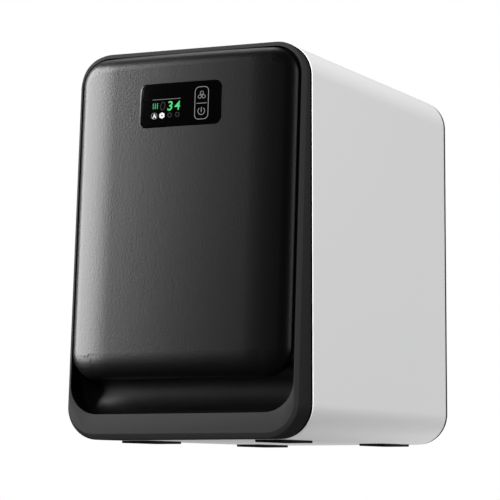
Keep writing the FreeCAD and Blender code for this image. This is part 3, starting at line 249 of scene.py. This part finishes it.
# Chamber: a grey moulded tub behind a bulkhead with a wide mouth.
# The floor grille lets warm air in, the grille high on the back wall takes it out, past a sensor.
liner_grey = surface("grey moulding", (0.33, 0.34, 0.35), 0.5, grain=0.0009, depth=0.04)
grille_grey = surface("dark grille", (0.06, 0.06, 0.062), 0.5, grain=0.0006, depth=0.04)
dress_nodes(["chamber_liner", "front_bulkhead"], liner_grey)
dress_nodes(["floor_grille", "return_grille", "sensor_pod"], grille_grey)


# Spool support: eight white rollers that turn on two steel shafts.
# Three black brackets carry the shafts across the chamber's floor.
roller_white = surface("white roller plastic", (0.72, 0.72, 0.7), 0.38, grain=0.0008, depth=0.02)
rollers = [f"roller_{side}_{i}" for side in ("left", "right") for i in (1, 2, 3, 4)]
dress_nodes(rollers, roller_white)
dress_nodes(["roller_shaft_left", "roller_shaft_right"], screw_steel)
brackets = [f"roller_bracket_{place}" for place in ("front", "middle", "rear")]
dress_nodes(brackets, moulded_black)


# Service bay: sheet-steel floor, supports and duct below the chamber.
# The fan blows through the finned heater into the duct; supply and control board stand in front.
bay_steel = surface("zinc-plated sheet", (0.5, 0.51, 0.52), 0.36, grain=0.004, depth=0.02, metallic=1.0)
fan_black = surface("fan plastic", (0.02, 0.02, 0.02), 0.45, grain=0.0008, depth=0.03)
fin_aluminium = surface("heater fins", (0.68, 0.69, 0.7), 0.34, grain=0.001, depth=0.02, metallic=1.0)
board_green = surface("circuit board", (0.02, 0.11, 0.05), 0.4, grain=0.0012, depth=0.05)
dress_nodes(["base_plate", "liner_support_left", "liner_support_right"], bay_steel)
dress_nodes(["hot_air_duct", "heater_frame", "power_supply"], bay_steel)
dress_nodes(["fan_frame", "fan_rotor"], fan_black)
dress_nodes(["heater_core"], fin_aluminium)
dress_nodes(["thermal_cutout"], screw_steel)
dress_nodes(["control_board", "display_board"], board_green)


# Door surround: a black moulding that carries on the sleeve's outline and leans back.
# A bevel, deepest along the chin, leads to the rim that frames the panel and the finger grip.
# Behind, a lip reaches into the door's gap, and there is room for the liner and the hinge.
front_lean = math.radians(4.17)
front_top_depth = 13.2 * mm
front_rise = sleeve_height * math.tan(front_lean)
front_depth = front_top_depth + front_rise
bevel_depth = 4.2 * mm
bevel_side = 3.2 * mm
bevel_top = 2 * mm
chin_rise = 5.8 * mm
door_gap = 1 * mm
door_back = sleeve_front - door_gap
rim_side = 4.2 * mm
rim_top = 5 * mm
rim_bottom = 20 * mm
rim_ease = 0.5 * mm
lip_inset = 0.25 * mm
lip_depth = 4.8 * mm
surround_back = door_back - lip_depth / 2
recess_depth = 3.5 * mm
cut_past = 10 * mm
cut_ahead = 30 * mm
face_bottom = chin_rise / math.cos(front_lean)
face_top = sleeve_height / math.cos(front_lean)
recess_half = sleeve_width / 2 - rim_side
recess_low = face_bottom + rim_bottom
recess_high = face_top - rim_top
recess_corner = sleeve_corner - rim_side
face_foot = Vector((0, sleeve_front - front_depth, foot_height))
face_turn = Matrix.Rotation(-front_lean, 4, "X")
onto_face = Matrix.Translation(face_foot) @ face_turn
off_face = onto_face.inverted()


def lean_on(piece):
    """Moves a piece from the face's own frame (across, into the door, up the lean) onto the door."""
    work_on(piece)
    piece.matrix_world = onto_face
    bpy.ops.object.transform_apply(location=True, rotation=True, scale=False)
    return piece


def carve(piece, tool, how="DIFFERENCE"):
    """Cuts one piece with another, and takes the tool away."""
    work_on(piece)
    change = piece.modifiers.new("carve", "BOOLEAN")
    change.operation = how
    change.solver = "EXACT"
    change.object = tool
    bpy.ops.object.modifier_apply(modifier="carve")
    bpy.data.objects.remove(tool)


def face_block(name, half, near, far, low, high, corner, segments=20):
    """A block in the face's frame, rounded at its four corners."""
    piece = block(name, (-half, near, low), (half, far, high))
    round_edges(piece, along(1), corner, segments)
    return piece


shoulder_y = sleeve_front - front_depth + bevel_depth / math.cos(front_lean)
surround = block(
    "door_surround",
    (-sleeve_width / 2, shoulder_y, foot_height),
    (sleeve_width / 2, surround_back, sleeve_top),
)
pick(surround, "VERT", lambda co: co.y < shoulder_y + tiny and co.z > sleeve_top - tiny)
bpy.ops.transform.translate(value=(0, front_rise, 0))
bpy.ops.object.mode_set(mode="OBJECT")
round_edges(surround, along(1), sleeve_corner, 28)
pick(surround, "FACE", lambda centre, normal: normal.y > 0.9)
bpy.ops.mesh.inset(thickness=lip_inset)
bpy.ops.mesh.extrude_region_move(TRANSFORM_OT_translate={"value": (0, lip_depth, 0)})
bpy.ops.object.mode_set(mode="OBJECT")
pick(surround, "FACE", lambda centre, normal: normal.y < -0.9)
bpy.ops.mesh.delete(type="ONLY_FACE")
bpy.ops.object.mode_set(mode="OBJECT")

face_end = (sleeve_height - bevel_top) / math.cos(front_lean)
bpy.ops.object.select_all(action="DESELECT")
bpy.ops.mesh.primitive_plane_add(
    size=1, location=(0, 0, (face_bottom + face_end) / 2), rotation=(math.pi / 2, 0, 0)
)
rim_face = bpy.context.object
rim_face.scale = (sleeve_width - 2 * bevel_side, face_end - face_bottom, 1)
bpy.ops.object.transform_apply(location=True, rotation=True, scale=True)
pick(rim_face, "VERT", lambda co: True)
bpy.ops.mesh.bevel(offset=sleeve_corner - chin_rise, segments=28, affect="VERTICES")
bpy.ops.object.mode_set(mode="OBJECT")
lean_on(rim_face)
work_on(surround)
rim_face.select_set(True)
bpy.ops.object.join()


def face_level(depth):
    """A test for edges that lie at one depth behind the face."""
    return lambda a, b: all(abs((off_face @ end).y - depth) < tiny for end in (a, b))


pick(surround, "EDGE", lambda a, b: face_level(0)(a, b) or face_level(bevel_depth)(a, b))
bpy.ops.mesh.bridge_edge_loops()
bpy.ops.mesh.select_all(action="SELECT")
bpy.ops.mesh.normals_make_consistent(inside=False)
bpy.ops.object.mode_set(mode="OBJECT")
round_edges(surround, face_level(bevel_depth), rim_ease, 3)

recess = face_block(
    "recess", recess_half, -cut_ahead, recess_depth, recess_low, recess_high, recess_corner
)
carve(surround, lean_on(recess))
grip_wall = 2.5 * mm
grip_radius = 25 * mm
grip_axis_depth = 2 * mm
grip_clear = 0.2 * mm
grip_block_height = 120 * mm
grip_top = recess_low + 2 * grip_radius + grip_wall + grip_clear
grip_room = face_block(
    "grip room",
    recess_half + grip_wall,
    recess_depth - grip_clear,
    grip_axis_depth + grip_radius + grip_wall + grip_clear,
    recess_low - grip_wall,
    recess_low + grip_block_height,
    recess_corner + grip_wall,
)
pick(grip_room, "FACE", lambda centre, normal: True)
bpy.ops.mesh.bisect(plane_co=(0, 0, grip_top), plane_no=(0, 0, 1), use_fill=True, clear_outer=True)
carve(surround, lean_on(grip_room))
round_edges(surround, face_level(0), rim_ease, 3)

liner_inset = 3.1 * mm
liner_room_depth = 2.6 * mm
liner_let_in = block(
    "liner room",
    (-sleeve_width / 2 + liner_inset, door_back - liner_room_depth, foot_height + liner_inset),
    (sleeve_width / 2 - liner_inset, door_back + cut_past, sleeve_top - liner_inset),
)
round_edges(liner_let_in, along(1), sleeve_corner - liner_inset, 20)
carve(surround, liner_let_in)
hinge_forward = 8 * mm
hinge_inset = 6 * mm
hinge_x = -sleeve_width / 2 + hinge_inset
hinge_y = door_back - hinge_forward
notch_reach = 4 * mm
notch_half = 4.4 * mm
side_reach = 20 * mm
barrel_length = 500 * mm
for height in (80 * mm, 290 * mm):
    level = foot_height + height
    notch = block(
        "hinge notch",
        (hinge_x - side_reach, hinge_y - notch_reach, level - notch_half),
        (hinge_x + notch_reach, door_back + cut_past, level + notch_half),
    )
    carve(surround, notch)
hinge_side = block(
    "hinge side",
    (hinge_x - side_reach, hinge_y, 0),
    (hinge_x, door_back + cut_past, sleeve_top + cut_past),
)
bpy.ops.object.select_all(action="DESELECT")
bpy.ops.mesh.primitive_cylinder_add(
    vertices=96,
    radius=hinge_forward,
    depth=barrel_length,
    location=(hinge_x, hinge_y, sleeve_height / 2),
)
hinge_barrel = bpy.context.object
bpy.ops.object.transform_apply(location=True, rotation=True, scale=True)
carve(hinge_side, hinge_barrel)
carve(surround, hinge_side)
smooth(surround)
surround_black = surface(
    "satin black surround", (0.0142, 0.0142, 0.0145), 0.55, grain=0.0007, depth=0.1, specular=0.12
)
dress(surround, surround_black)
# Painted shade: the lip in the door's gap and the inward walls of the recess and grip room get a near-black
# finish without gloss, standing in for the shade that falls there.
surround.data.materials.append(surface("painted shade on lip and recess", (0.002, 0.002, 0.002), 0.6, specular=0))
shade_start = 0.4 * mm
shade_slack = 0.1 * mm
grip_room_back = 32 * mm
# Picks the faces that get the painted shade: the lip, and the recess and grip walls that face inwards.
for face in surround.data.polygons:
    across, depth, up = off_face @ face.center
    aside = abs(across) - recess_half
    in_recess = shade_start < depth < recess_depth + shade_slack and aside < shade_slack / 2
    in_grip = recess_depth < depth < grip_room_back and aside < grip_wall and up < grip_top
    towards = (off_face.to_3x3() @ face.normal).dot(Vector((across, 0, up - recess_low - grip_radius)))
    faces_in = towards < shade_slack and up > recess_low - grip_wall - shade_slack
    on_lip = face.center.y > surround_back + shade_slack
    if on_lip or faces_in and (in_recess or in_grip):
        face.material_index = 1
stand_for(surround, "door", ["door_frame"])


# Front panel: a raised, grained black moulding, nearly flat in the middle and falling to both sides.
# Its edges are rolled, a little longer below, and sink into the recess with an even gap.
# It is drawn as a flat, rolled block, pressed back along its section and lifted at its lower roll.
panel_gap = 2.1 * mm
panel_half = recess_half - panel_gap
grip_opening = 35 * mm
panel_low = recess_low + grip_opening
panel_high = recess_high - panel_gap
panel_corner = recess_corner - panel_gap
panel_proud = 21.6 * mm
panel_roll = 17 * mm
panel_bow = 1300 * mm
panel_flank = 140 * mm
flank_width = 47 * mm
flank_start = panel_half - flank_width
flank_slope = flank_start / panel_bow
flank_middle = flank_start - panel_flank * flank_slope
panel = face_block(
    "raised_panel", panel_half, -panel_proud, recess_depth, panel_low, panel_high, panel_corner, 24
)
round_edges(panel, lambda a, b: max(a.y, b.y) < tiny - panel_proud, panel_roll, 20)
slice_width = 3 * mm
slices_aside = 38
sliver = 0.3 * mm
for step in range(-slices_aside, slices_aside + 1):
    pick(panel, "FACE", lambda centre, normal: True)
    bpy.ops.mesh.bisect(plane_co=(step * slice_width, 0, 0), plane_no=(1, 0, 0))
support_steps = [17.5, 20, 23, 26, 29, 32, 40]
for step in support_steps:
    for level in (panel_low + step * mm, panel_high - step * mm):
        pick(panel, "FACE", lambda centre, normal: True)
        bpy.ops.mesh.bisect(plane_co=(0, 0, level), plane_no=(0, 0, 1))
bpy.ops.mesh.select_all(action="SELECT")
bpy.ops.mesh.remove_doubles(threshold=sliver)
bpy.ops.object.mode_set(mode="OBJECT")


def section_fall(x, inset):
    """How far the section, drawn in by an inset, lies behind its own foremost line."""
    bow, flank = panel_bow - inset, panel_flank - inset
    if abs(x) < bow * flank_slope:
        return bow - math.sqrt(bow ** 2 - x ** 2)
    upright = math.sqrt(1 - flank_slope ** 2)
    return bow - (bow - flank) * upright - math.sqrt(flank ** 2 - (abs(x) - flank_middle) ** 2)


def pressed_back(co):
    """How far a point of the flat block goes back, so that the roll stays tangent to the section."""
    middle = (panel_low + panel_high) / 2
    corner = Vector((panel_half - panel_corner, (panel_high - panel_low) / 2 - panel_corner))
    out = Vector((abs(co.x), abs(co.z - middle))) - corner
    if out.x > 0 and out.y > 0:
        inside = panel_corner - out.length
        aside = out.x / out.length
        roll_x = corner.x + (panel_corner - panel_roll) * aside
    elif out.x - panel_corner > out.y - panel_corner:
        inside, aside, roll_x = panel_corner - out.x, 1, panel_half - panel_roll
    else:
        inside, aside, roll_x = panel_corner - out.y, 0, abs(co.x)
    tilt = max(roll_x / (panel_bow - panel_roll), (roll_x - flank_middle) / (panel_flank - panel_roll))
    if inside < panel_roll * (1 - aside * tilt):
        return section_fall(roll_x, panel_roll)
    return section_fall(co.x, 0) - panel_proud - co.y


def lifted_up(co):
    """The share of the lower roll's lift, which fades along the corners and into the front."""
    corner = Vector((panel_half - panel_corner, panel_low + panel_corner))
    out = Vector((max(0, abs(co.x) - corner.x), max(0, corner.y - co.z)))
    inside = max(0, panel_corner - out.length)
    share = min(inside / panel_roll, (panel_corner - inside) / (panel_corner - panel_roll))
    return share * out.y / max(out.length, tiny)


deepest = section_fall(panel_half, 0)
lower_roll = 25 * mm
pressed = panel.vertex_groups.new(name="pressed")
lifted = panel.vertex_groups.new(name="lifted")
for vertex in panel.data.vertices:
    if vertex.co.y < 0:
        pressed.add([vertex.index], pressed_back(vertex.co) / deepest, "REPLACE")
        lifted.add([vertex.index], lifted_up(vertex.co), "REPLACE")
for name, direction, strength in (("pressed", "Y", deepest), ("lifted", "Z", lower_roll - panel_roll)):
    work_on(panel)
    push = panel.modifiers.new(name, "DISPLACE")
    push.direction = direction
    push.mid_level = 0
    push.strength = strength
    push.vertex_group = name
    bpy.ops.object.modifier_apply(modifier=name)
panel_black = surface("grained black panel", (0.0007, 0.0007, 0.0007), 0.38, grain=0.002, depth=0.32)


# Display: a dark, glossy window let into the panel, flush with it and lit from behind.
# Its eased edge leaves a fine gap all round; keys stand at the right, readings at the left.
window_half_width = 45.3 * mm
window_half_height = 22.6 * mm
window_corner = 7 * mm
window_drop = 56.8 * mm
window_middle = panel_high - window_drop
window_sink = 0.3 * mm
window_front = window_sink - panel_proud
window_thickness = 1.4 * mm
window_ease = 0.35 * mm
seat_gap = 0.25 * mm
seat_ahead = 20 * mm
seat = face_block(
    "window seat",
    window_half_width + seat_gap,
    window_front - seat_ahead,
    window_front + window_thickness,
    window_middle - window_half_height - seat_gap,
    window_middle + window_half_height + seat_gap,
    window_corner + seat_gap,
    10,
)
carve(panel, seat)
lean_on(panel)
smooth(panel, 30)
dress(panel, panel_black)
stand_for(panel, "door", ["front_panel"])

window = face_block(
    "display_pane",
    window_half_width,
    window_front,
    window_front + window_thickness,
    window_middle - window_half_height,
    window_middle + window_half_height,
    window_corner,
    10,
)
round_edges(window, lambda a, b: max(a.y, b.y) < window_front + tiny, window_ease, 3)
lean_on(window)
smooth(window)
window_glass = surface("tinted pane", (0.0002, 0.0002, 0.0002), 0.1, grain=0.002, depth=0.0)
dress(window, window_glass)
stand_for(window, "door", ["display_window"])
display_back = surface("display housing", (0.03, 0.03, 0.032), 0.6, grain=0.0006, depth=0.05)
dress_nodes(["display_module"], display_back)


# Lit marks: the keys and readings that shine through the pane, as thin flat shapes on its face.
# They are drawn lying flat, in millimetres across and up from the window's middle, then set on it.
mark_lift = 0.05 * mm
mark_thickness = 0.04 * mm
figure_share = 0.7
pane_middle = Matrix.Translation((0, window_front - mark_lift, window_middle))
onto_pane = onto_face @ pane_middle @ Matrix.Rotation(math.pi / 2, 4, "X")


def glow(name, colour, strength):
    """A lit finish: the colour shines evenly, over a dark body."""
    material = bpy.data.materials.new(name)
    material.use_nodes = True
    shader = material.node_tree.nodes["Principled BSDF"]
    shader.inputs["Base Color"].default_value = (0, 0, 0, 1)
    shader.inputs["Roughness"].default_value = 0.3
    shader.inputs["Specular IOR Level"].default_value = 0
    shader.inputs["Emission Color"].default_value = (*colour, 1)
    shader.inputs["Emission Strength"].default_value = strength
    return material


def draw_bar(x, y, width, height, turn=0.0):
    bpy.ops.object.select_all(action="DESELECT")
    bpy.ops.mesh.primitive_plane_add(size=1, location=(x * mm, y * mm, 0), rotation=(0, 0, turn))
    bar = bpy.context.object
    bar.scale = (width * mm, height * mm, 1)
    bpy.ops.object.transform_apply(location=True, rotation=True, scale=True)
    return bar


def draw_ring(x, y, radius, line, sides):
    bpy.ops.object.select_all(action="DESELECT")
    bpy.ops.mesh.primitive_circle_add(
        vertices=sides, radius=radius * mm, fill_type="NGON", location=(x * mm, y * mm, 0)
    )
    ring = bpy.context.object
    bpy.ops.object.transform_apply(location=True, rotation=True, scale=True)
    hollow_out(ring, line)
    return ring


def hollow_out(shape, line):
    """Leaves only a line along the outline of a flat shape."""
    pick(shape, "FACE", lambda centre, normal: True)
    bpy.ops.mesh.inset(thickness=line * mm)
    bpy.ops.mesh.delete(type="FACE")
    bpy.ops.object.mode_set(mode="OBJECT")


def draw_key_outline(x, y, width, height, corner, line):
    pill = draw_bar(x, y, width, height)
    pick(pill, "VERT", lambda co: True)
    bpy.ops.mesh.bevel(offset=corner * mm, segments=8, affect="VERTICES")
    bpy.ops.object.mode_set(mode="OBJECT")
    hollow_out(pill, line)
    return pill


def draw_figures(text, x, y, height, lean, weight):
    bpy.ops.object.select_all(action="DESELECT")
    bpy.ops.object.text_add(location=(x * mm, y * mm, 0))
    figures = bpy.context.object
    figures.data.body = text
    figures.data.size = height * mm / figure_share
    figures.data.shear = lean
    figures.data.offset = weight * mm
    bpy.ops.object.convert(target="MESH")
    bpy.ops.object.transform_apply(location=True, rotation=True, scale=True)
    return bpy.context.object


def set_on_pane(name, shapes, material):
    """Joins flat shapes into one piece, gives it a little thickness and sets it on the pane."""
    work_on(shapes[0])
    for shape in shapes:
        shape.select_set(True)
    bpy.ops.object.join()
    piece = bpy.context.object
    piece.name = piece.data.name = name
    body = piece.modifiers.new("thickness", "SOLIDIFY")
    body.thickness = mark_thickness
    bpy.ops.object.modifier_apply(modifier="thickness")
    piece.matrix_world = onto_pane
    bpy.ops.object.transform_apply(location=True, rotation=True, scale=True)
    dress(piece, material)
    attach(piece, "door")


key_x = 23.8
key_marks = [
    draw_key_outline(key_x, -0.2, width=15.4, height=33.8, corner=4.8, line=0.55),
    draw_bar(key_x, -0.5, width=11.2, height=0.5),
    draw_bar(key_x, -7.2, width=0.7, height=5.0),
]
fan_y = 7.6
blade_out = 2.5
for turn in (90, 210, 330):
    angle = math.radians(turn)
    blade_x, blade_y = key_x + blade_out * math.cos(angle), fan_y + blade_out * math.sin(angle)
    key_marks.append(draw_ring(blade_x, blade_y, radius=2.0, line=0.5, sides=20))
power_y = -8.6
power_gap = 2.9
power_ring = draw_ring(key_x, power_y, radius=4.0, line=0.55, sides=40)
pick(power_ring, "FACE", lambda centre, normal: centre.y > (power_y + power_gap) * mm)
bpy.ops.mesh.delete(type="FACE")
bpy.ops.object.mode_set(mode="OBJECT")
key_marks.append(power_ring)
set_on_pane("key_marks", key_marks, glow("soft white light", (0.55, 0.55, 0.55), 0.6))

figure_height = 9.3
figure_lean = 0.12
reading_marks = [
    draw_figures("3", -15.0, -5.6, figure_height, figure_lean, weight=0.2),
    draw_figures("4", -6.8, -5.6, figure_height, figure_lean, weight=0.06),
]
wave_pitch = 2.3
wave_step = 1.45
for column in range(3):
    for part in range(4):
        slant = 0.6 if part % 2 else -0.6
        wave_x, wave_y = -30.2 + wave_pitch * column, 1.7 - wave_step * part
        reading_marks.append(draw_bar(wave_x, wave_y, width=0.5, height=1.75, turn=slant))
set_on_pane("green_reading", reading_marks, glow("green light", (0.10, 0.75, 0.25), 0.95))

bright_marks = [
    draw_ring(-20.1, -10.6, radius=3.3, line=2.1, sides=6),
    draw_figures("A", -30.7, -13.0, height=4.4, lean=0, weight=0.15),
]
set_on_pane("level_mark", bright_marks, glow("white light", (1, 1, 1), 1.0))

mode_marks = [
    draw_ring(-28.9, -10.7, radius=3.4, line=0.45, sides=28),
    draw_bar(-15.5, 6.1, width=31.6, height=0.4),
]
set_on_pane("mode_mark", mode_marks, glow("grey light", (0.5, 0.5, 0.5), 0.6))

dim_marks = [
    draw_figures("0", -23.4, -5.4, figure_height, figure_lean, weight=0),
    draw_ring(-11.5, -10.5, radius=2.7, line=1.3, sides=24),
    draw_ring(-2.9, -10.5, radius=2.7, line=1.3, sides=24),
]
set_on_pane("dim_marks", dim_marks, glow("dim light", (0.06, 0.05, 0.05), 0.6))


# Finger grip: a glossy black trough under the panel, one round channel from side to side.
# Its ends follow the rounded corners of the recess, and it tucks up behind the panel's lip.
grip_axis = recess_low + grip_radius - grip_clear
hollow_depth = 60 * mm
hollow_height = 140 * mm


def grip_barrel(radius):
    bpy.ops.object.select_all(action="DESELECT")
    bpy.ops.mesh.primitive_cylinder_add(
        vertices=128,
        radius=radius,
        depth=sleeve_width,
        location=(0, grip_axis_depth, grip_axis),
        rotation=(0, math.pi / 2, 0),
    )
    bpy.ops.object.transform_apply(location=True, rotation=True, scale=True)
    return bpy.context.object


grip = face_block(
    "grip_trough",
    recess_half + grip_wall - grip_clear,
    recess_depth,
    grip_axis_depth + grip_radius + grip_wall,
    recess_low - grip_wall + grip_clear,
    recess_low + grip_block_height,
    recess_corner + grip_wall - grip_clear,
)
carve(grip, grip_barrel(grip_radius + grip_wall), "INTERSECT")
room = face_block(
    "grip hollow",
    recess_half,
    -cut_ahead,
    hollow_depth,
    recess_low,
    recess_low + hollow_height,
    recess_corner,
)
carve(room, grip_barrel(grip_radius), "INTERSECT")
carve(grip, room)
lean_on(grip)
smooth(grip, 40)
grip_black = surface("glossy black grip", (0.0005, 0.0005, 0.0005), 0.4, grain=0.002, depth=0.01)
dress(grip, grip_black)
stand_for(grip, "door", ["finger_grip"])


# Door inside: a grey liner sheet on screws, a rubber seal round the mouth and two magnets.
# The hinge pins stand in the surround and turn in the cabinet's hinge brackets.
seal_rubber = surface("seal rubber", (0.035, 0.035, 0.036), 0.7, grain=0.0004, depth=0.04)
dress_nodes(["door_liner"], liner_grey)
dress_nodes(["door_seal"], seal_rubber)
dress_nodes(["door_magnets", "door_screws", "strike_plates"], screw_steel)
dress_nodes(["hinge_pin_lower", "hinge_pin_upper"], screw_steel)
dress_nodes(["hinge_bracket_lower", "hinge_bracket_upper"], bay_steel)


# Stage: a pale floor, in a white surround, that keeps the shadow, fades further off and is clear from below.
# A tall soft light at the left only draws the sheen on the black front; the others light the box.
bpy.ops.object.select_all(action="DESELECT")
floor_size = 8
bpy.ops.mesh.primitive_plane_add(size=floor_size, location=(0, 0, 0))
floor = bpy.context.object
floor.name = "floor"
floor_material = bpy.data.materials.new("pale floor")
floor_material.use_nodes = True
nodes, links = floor_material.node_tree.nodes, floor_material.node_tree.links
nodes["Principled BSDF"].inputs["Base Color"].default_value = (0.85, 0.85, 0.85, 1)
nodes["Principled BSDF"].inputs["Roughness"].default_value = 0.9
clear = nodes.new("ShaderNodeBsdfTransparent")
sides = nodes.new("ShaderNodeNewGeometry")
path = nodes.new("ShaderNodeLightPath")
seen_above = nodes.new("ShaderNodeMath")
seen_above.operation = "SUBTRACT"
seen_above.use_clamp = True
place = nodes.new("ShaderNodeTexCoord")
away = nodes.new("ShaderNodeVectorMath")
away.operation = "LENGTH"
fade = nodes.new("ShaderNodeMapRange")
fade.interpolation_type = "SMOOTHSTEP"
fade_start = 0.7
fade_end = 1.5
fade.inputs["From Min"].default_value = fade_start
fade.inputs["From Max"].default_value = fade_end
fade.inputs["To Min"].default_value = 1
fade.inputs["To Max"].default_value = 0
near = nodes.new("ShaderNodeMath")
near.operation = "MULTIPLY"
choose = nodes.new("ShaderNodeMixShader")
links.new(path.outputs["Is Camera Ray"], seen_above.inputs[0])
links.new(sides.outputs["Backfacing"], seen_above.inputs[1])
links.new(place.outputs["Object"], away.inputs[0])
links.new(away.outputs["Value"], fade.inputs["Value"])
links.new(seen_above.outputs["Value"], near.inputs[0])
links.new(fade.outputs["Result"], near.inputs[1])
links.new(near.outputs["Value"], choose.inputs["Fac"])
links.new(clear.outputs["BSDF"], choose.inputs[1])
links.new(nodes["Principled BSDF"].outputs["BSDF"], choose.inputs[2])
links.new(choose.outputs["Shader"], nodes["Material Output"].inputs["Surface"])
dress(floor, floor_material)

world = bpy.data.worlds.new("studio")
bpy.context.scene.world = world
world.use_nodes = True
nodes, links = world.node_tree.nodes, world.node_tree.links
backdrop = nodes["Background"]
backdrop.inputs["Color"].default_value = (1, 1, 1, 1)
backdrop.inputs["Strength"].default_value = 1
fill = nodes.new("ShaderNodeBackground")
fill.inputs["Strength"].default_value = 0.22
mirrored = nodes.new("ShaderNodeBackground")
mirrored.inputs["Strength"].default_value = 0.03
path = nodes.new("ShaderNodeLightPath")
by_gloss = nodes.new("ShaderNodeMixShader")
links.new(path.outputs["Is Glossy Ray"], by_gloss.inputs["Fac"])
links.new(fill.outputs["Background"], by_gloss.inputs[1])
links.new(mirrored.outputs["Background"], by_gloss.inputs[2])
by_camera = nodes.new("ShaderNodeMixShader")
links.new(path.outputs["Is Camera Ray"], by_camera.inputs["Fac"])
links.new(by_gloss.outputs["Shader"], by_camera.inputs[1])
links.new(backdrop.outputs["Background"], by_camera.inputs[2])
links.new(by_camera.outputs["Shader"], nodes["World Output"].inputs["Surface"])


def soft_light(name, turn, rise, reach, width, height, power, mirrored=False):
    """A soft panel aimed at the box from a turn to the right of the front and a rise above level."""
    turn, rise = math.radians(turn), math.radians(rise)
    aim = Vector((0, -0.15, 0.2))
    away = Vector((math.sin(turn) * math.cos(rise), -math.cos(turn) * math.cos(rise), math.sin(rise)))
    bpy.ops.object.light_add(type="AREA", location=aim + reach * away)
    lamp = bpy.context.object
    lamp.name = name
    lamp.rotation_euler = away.to_track_quat("Z", "Y").to_euler()
    lamp.data.shape = "RECTANGLE"
    lamp.data.size = width
    lamp.data.size_y = height
    lamp.data.energy = power
    lamp.visible_glossy = mirrored
    lamp.visible_camera = False
    return lamp


sheen = soft_light("left light", -67, 18, reach=1.5, width=1.3, height=1.5, power=72, mirrored=True)
sheen.visible_diffuse = False
soft_light("left fill", -80, 15, reach=4, width=1.6, height=1.6, power=95)
soft_light("front light", 12, 20, reach=8, width=2.4, height=2.4, power=1750)
soft_light("right light", 120, 15, reach=2.5, width=1.9, height=1.6, power=12, mirrored=True)
soft_light("low light", 175, -36, reach=2.0, width=1.2, height=1.2, power=40)
soft_light("top light", -140, 60, reach=2.0, width=1.0, height=1.0, power=5, mirrored=True)

camera_place = Vector((1.02475, sleeve_front - 2.18692, foot_height - 0.04116))
camera_yaw = math.radians(23.807)
camera_pitch = math.radians(5.541)
bpy.ops.object.camera_add(location=camera_place, rotation=(math.pi / 2 + camera_pitch, 0, camera_yaw))
camera = bpy.context.object
camera.data.sensor_width = 36
camera.data.lens = 171.23
camera.data.clip_end = 50
bpy.context.scene.camera = camera
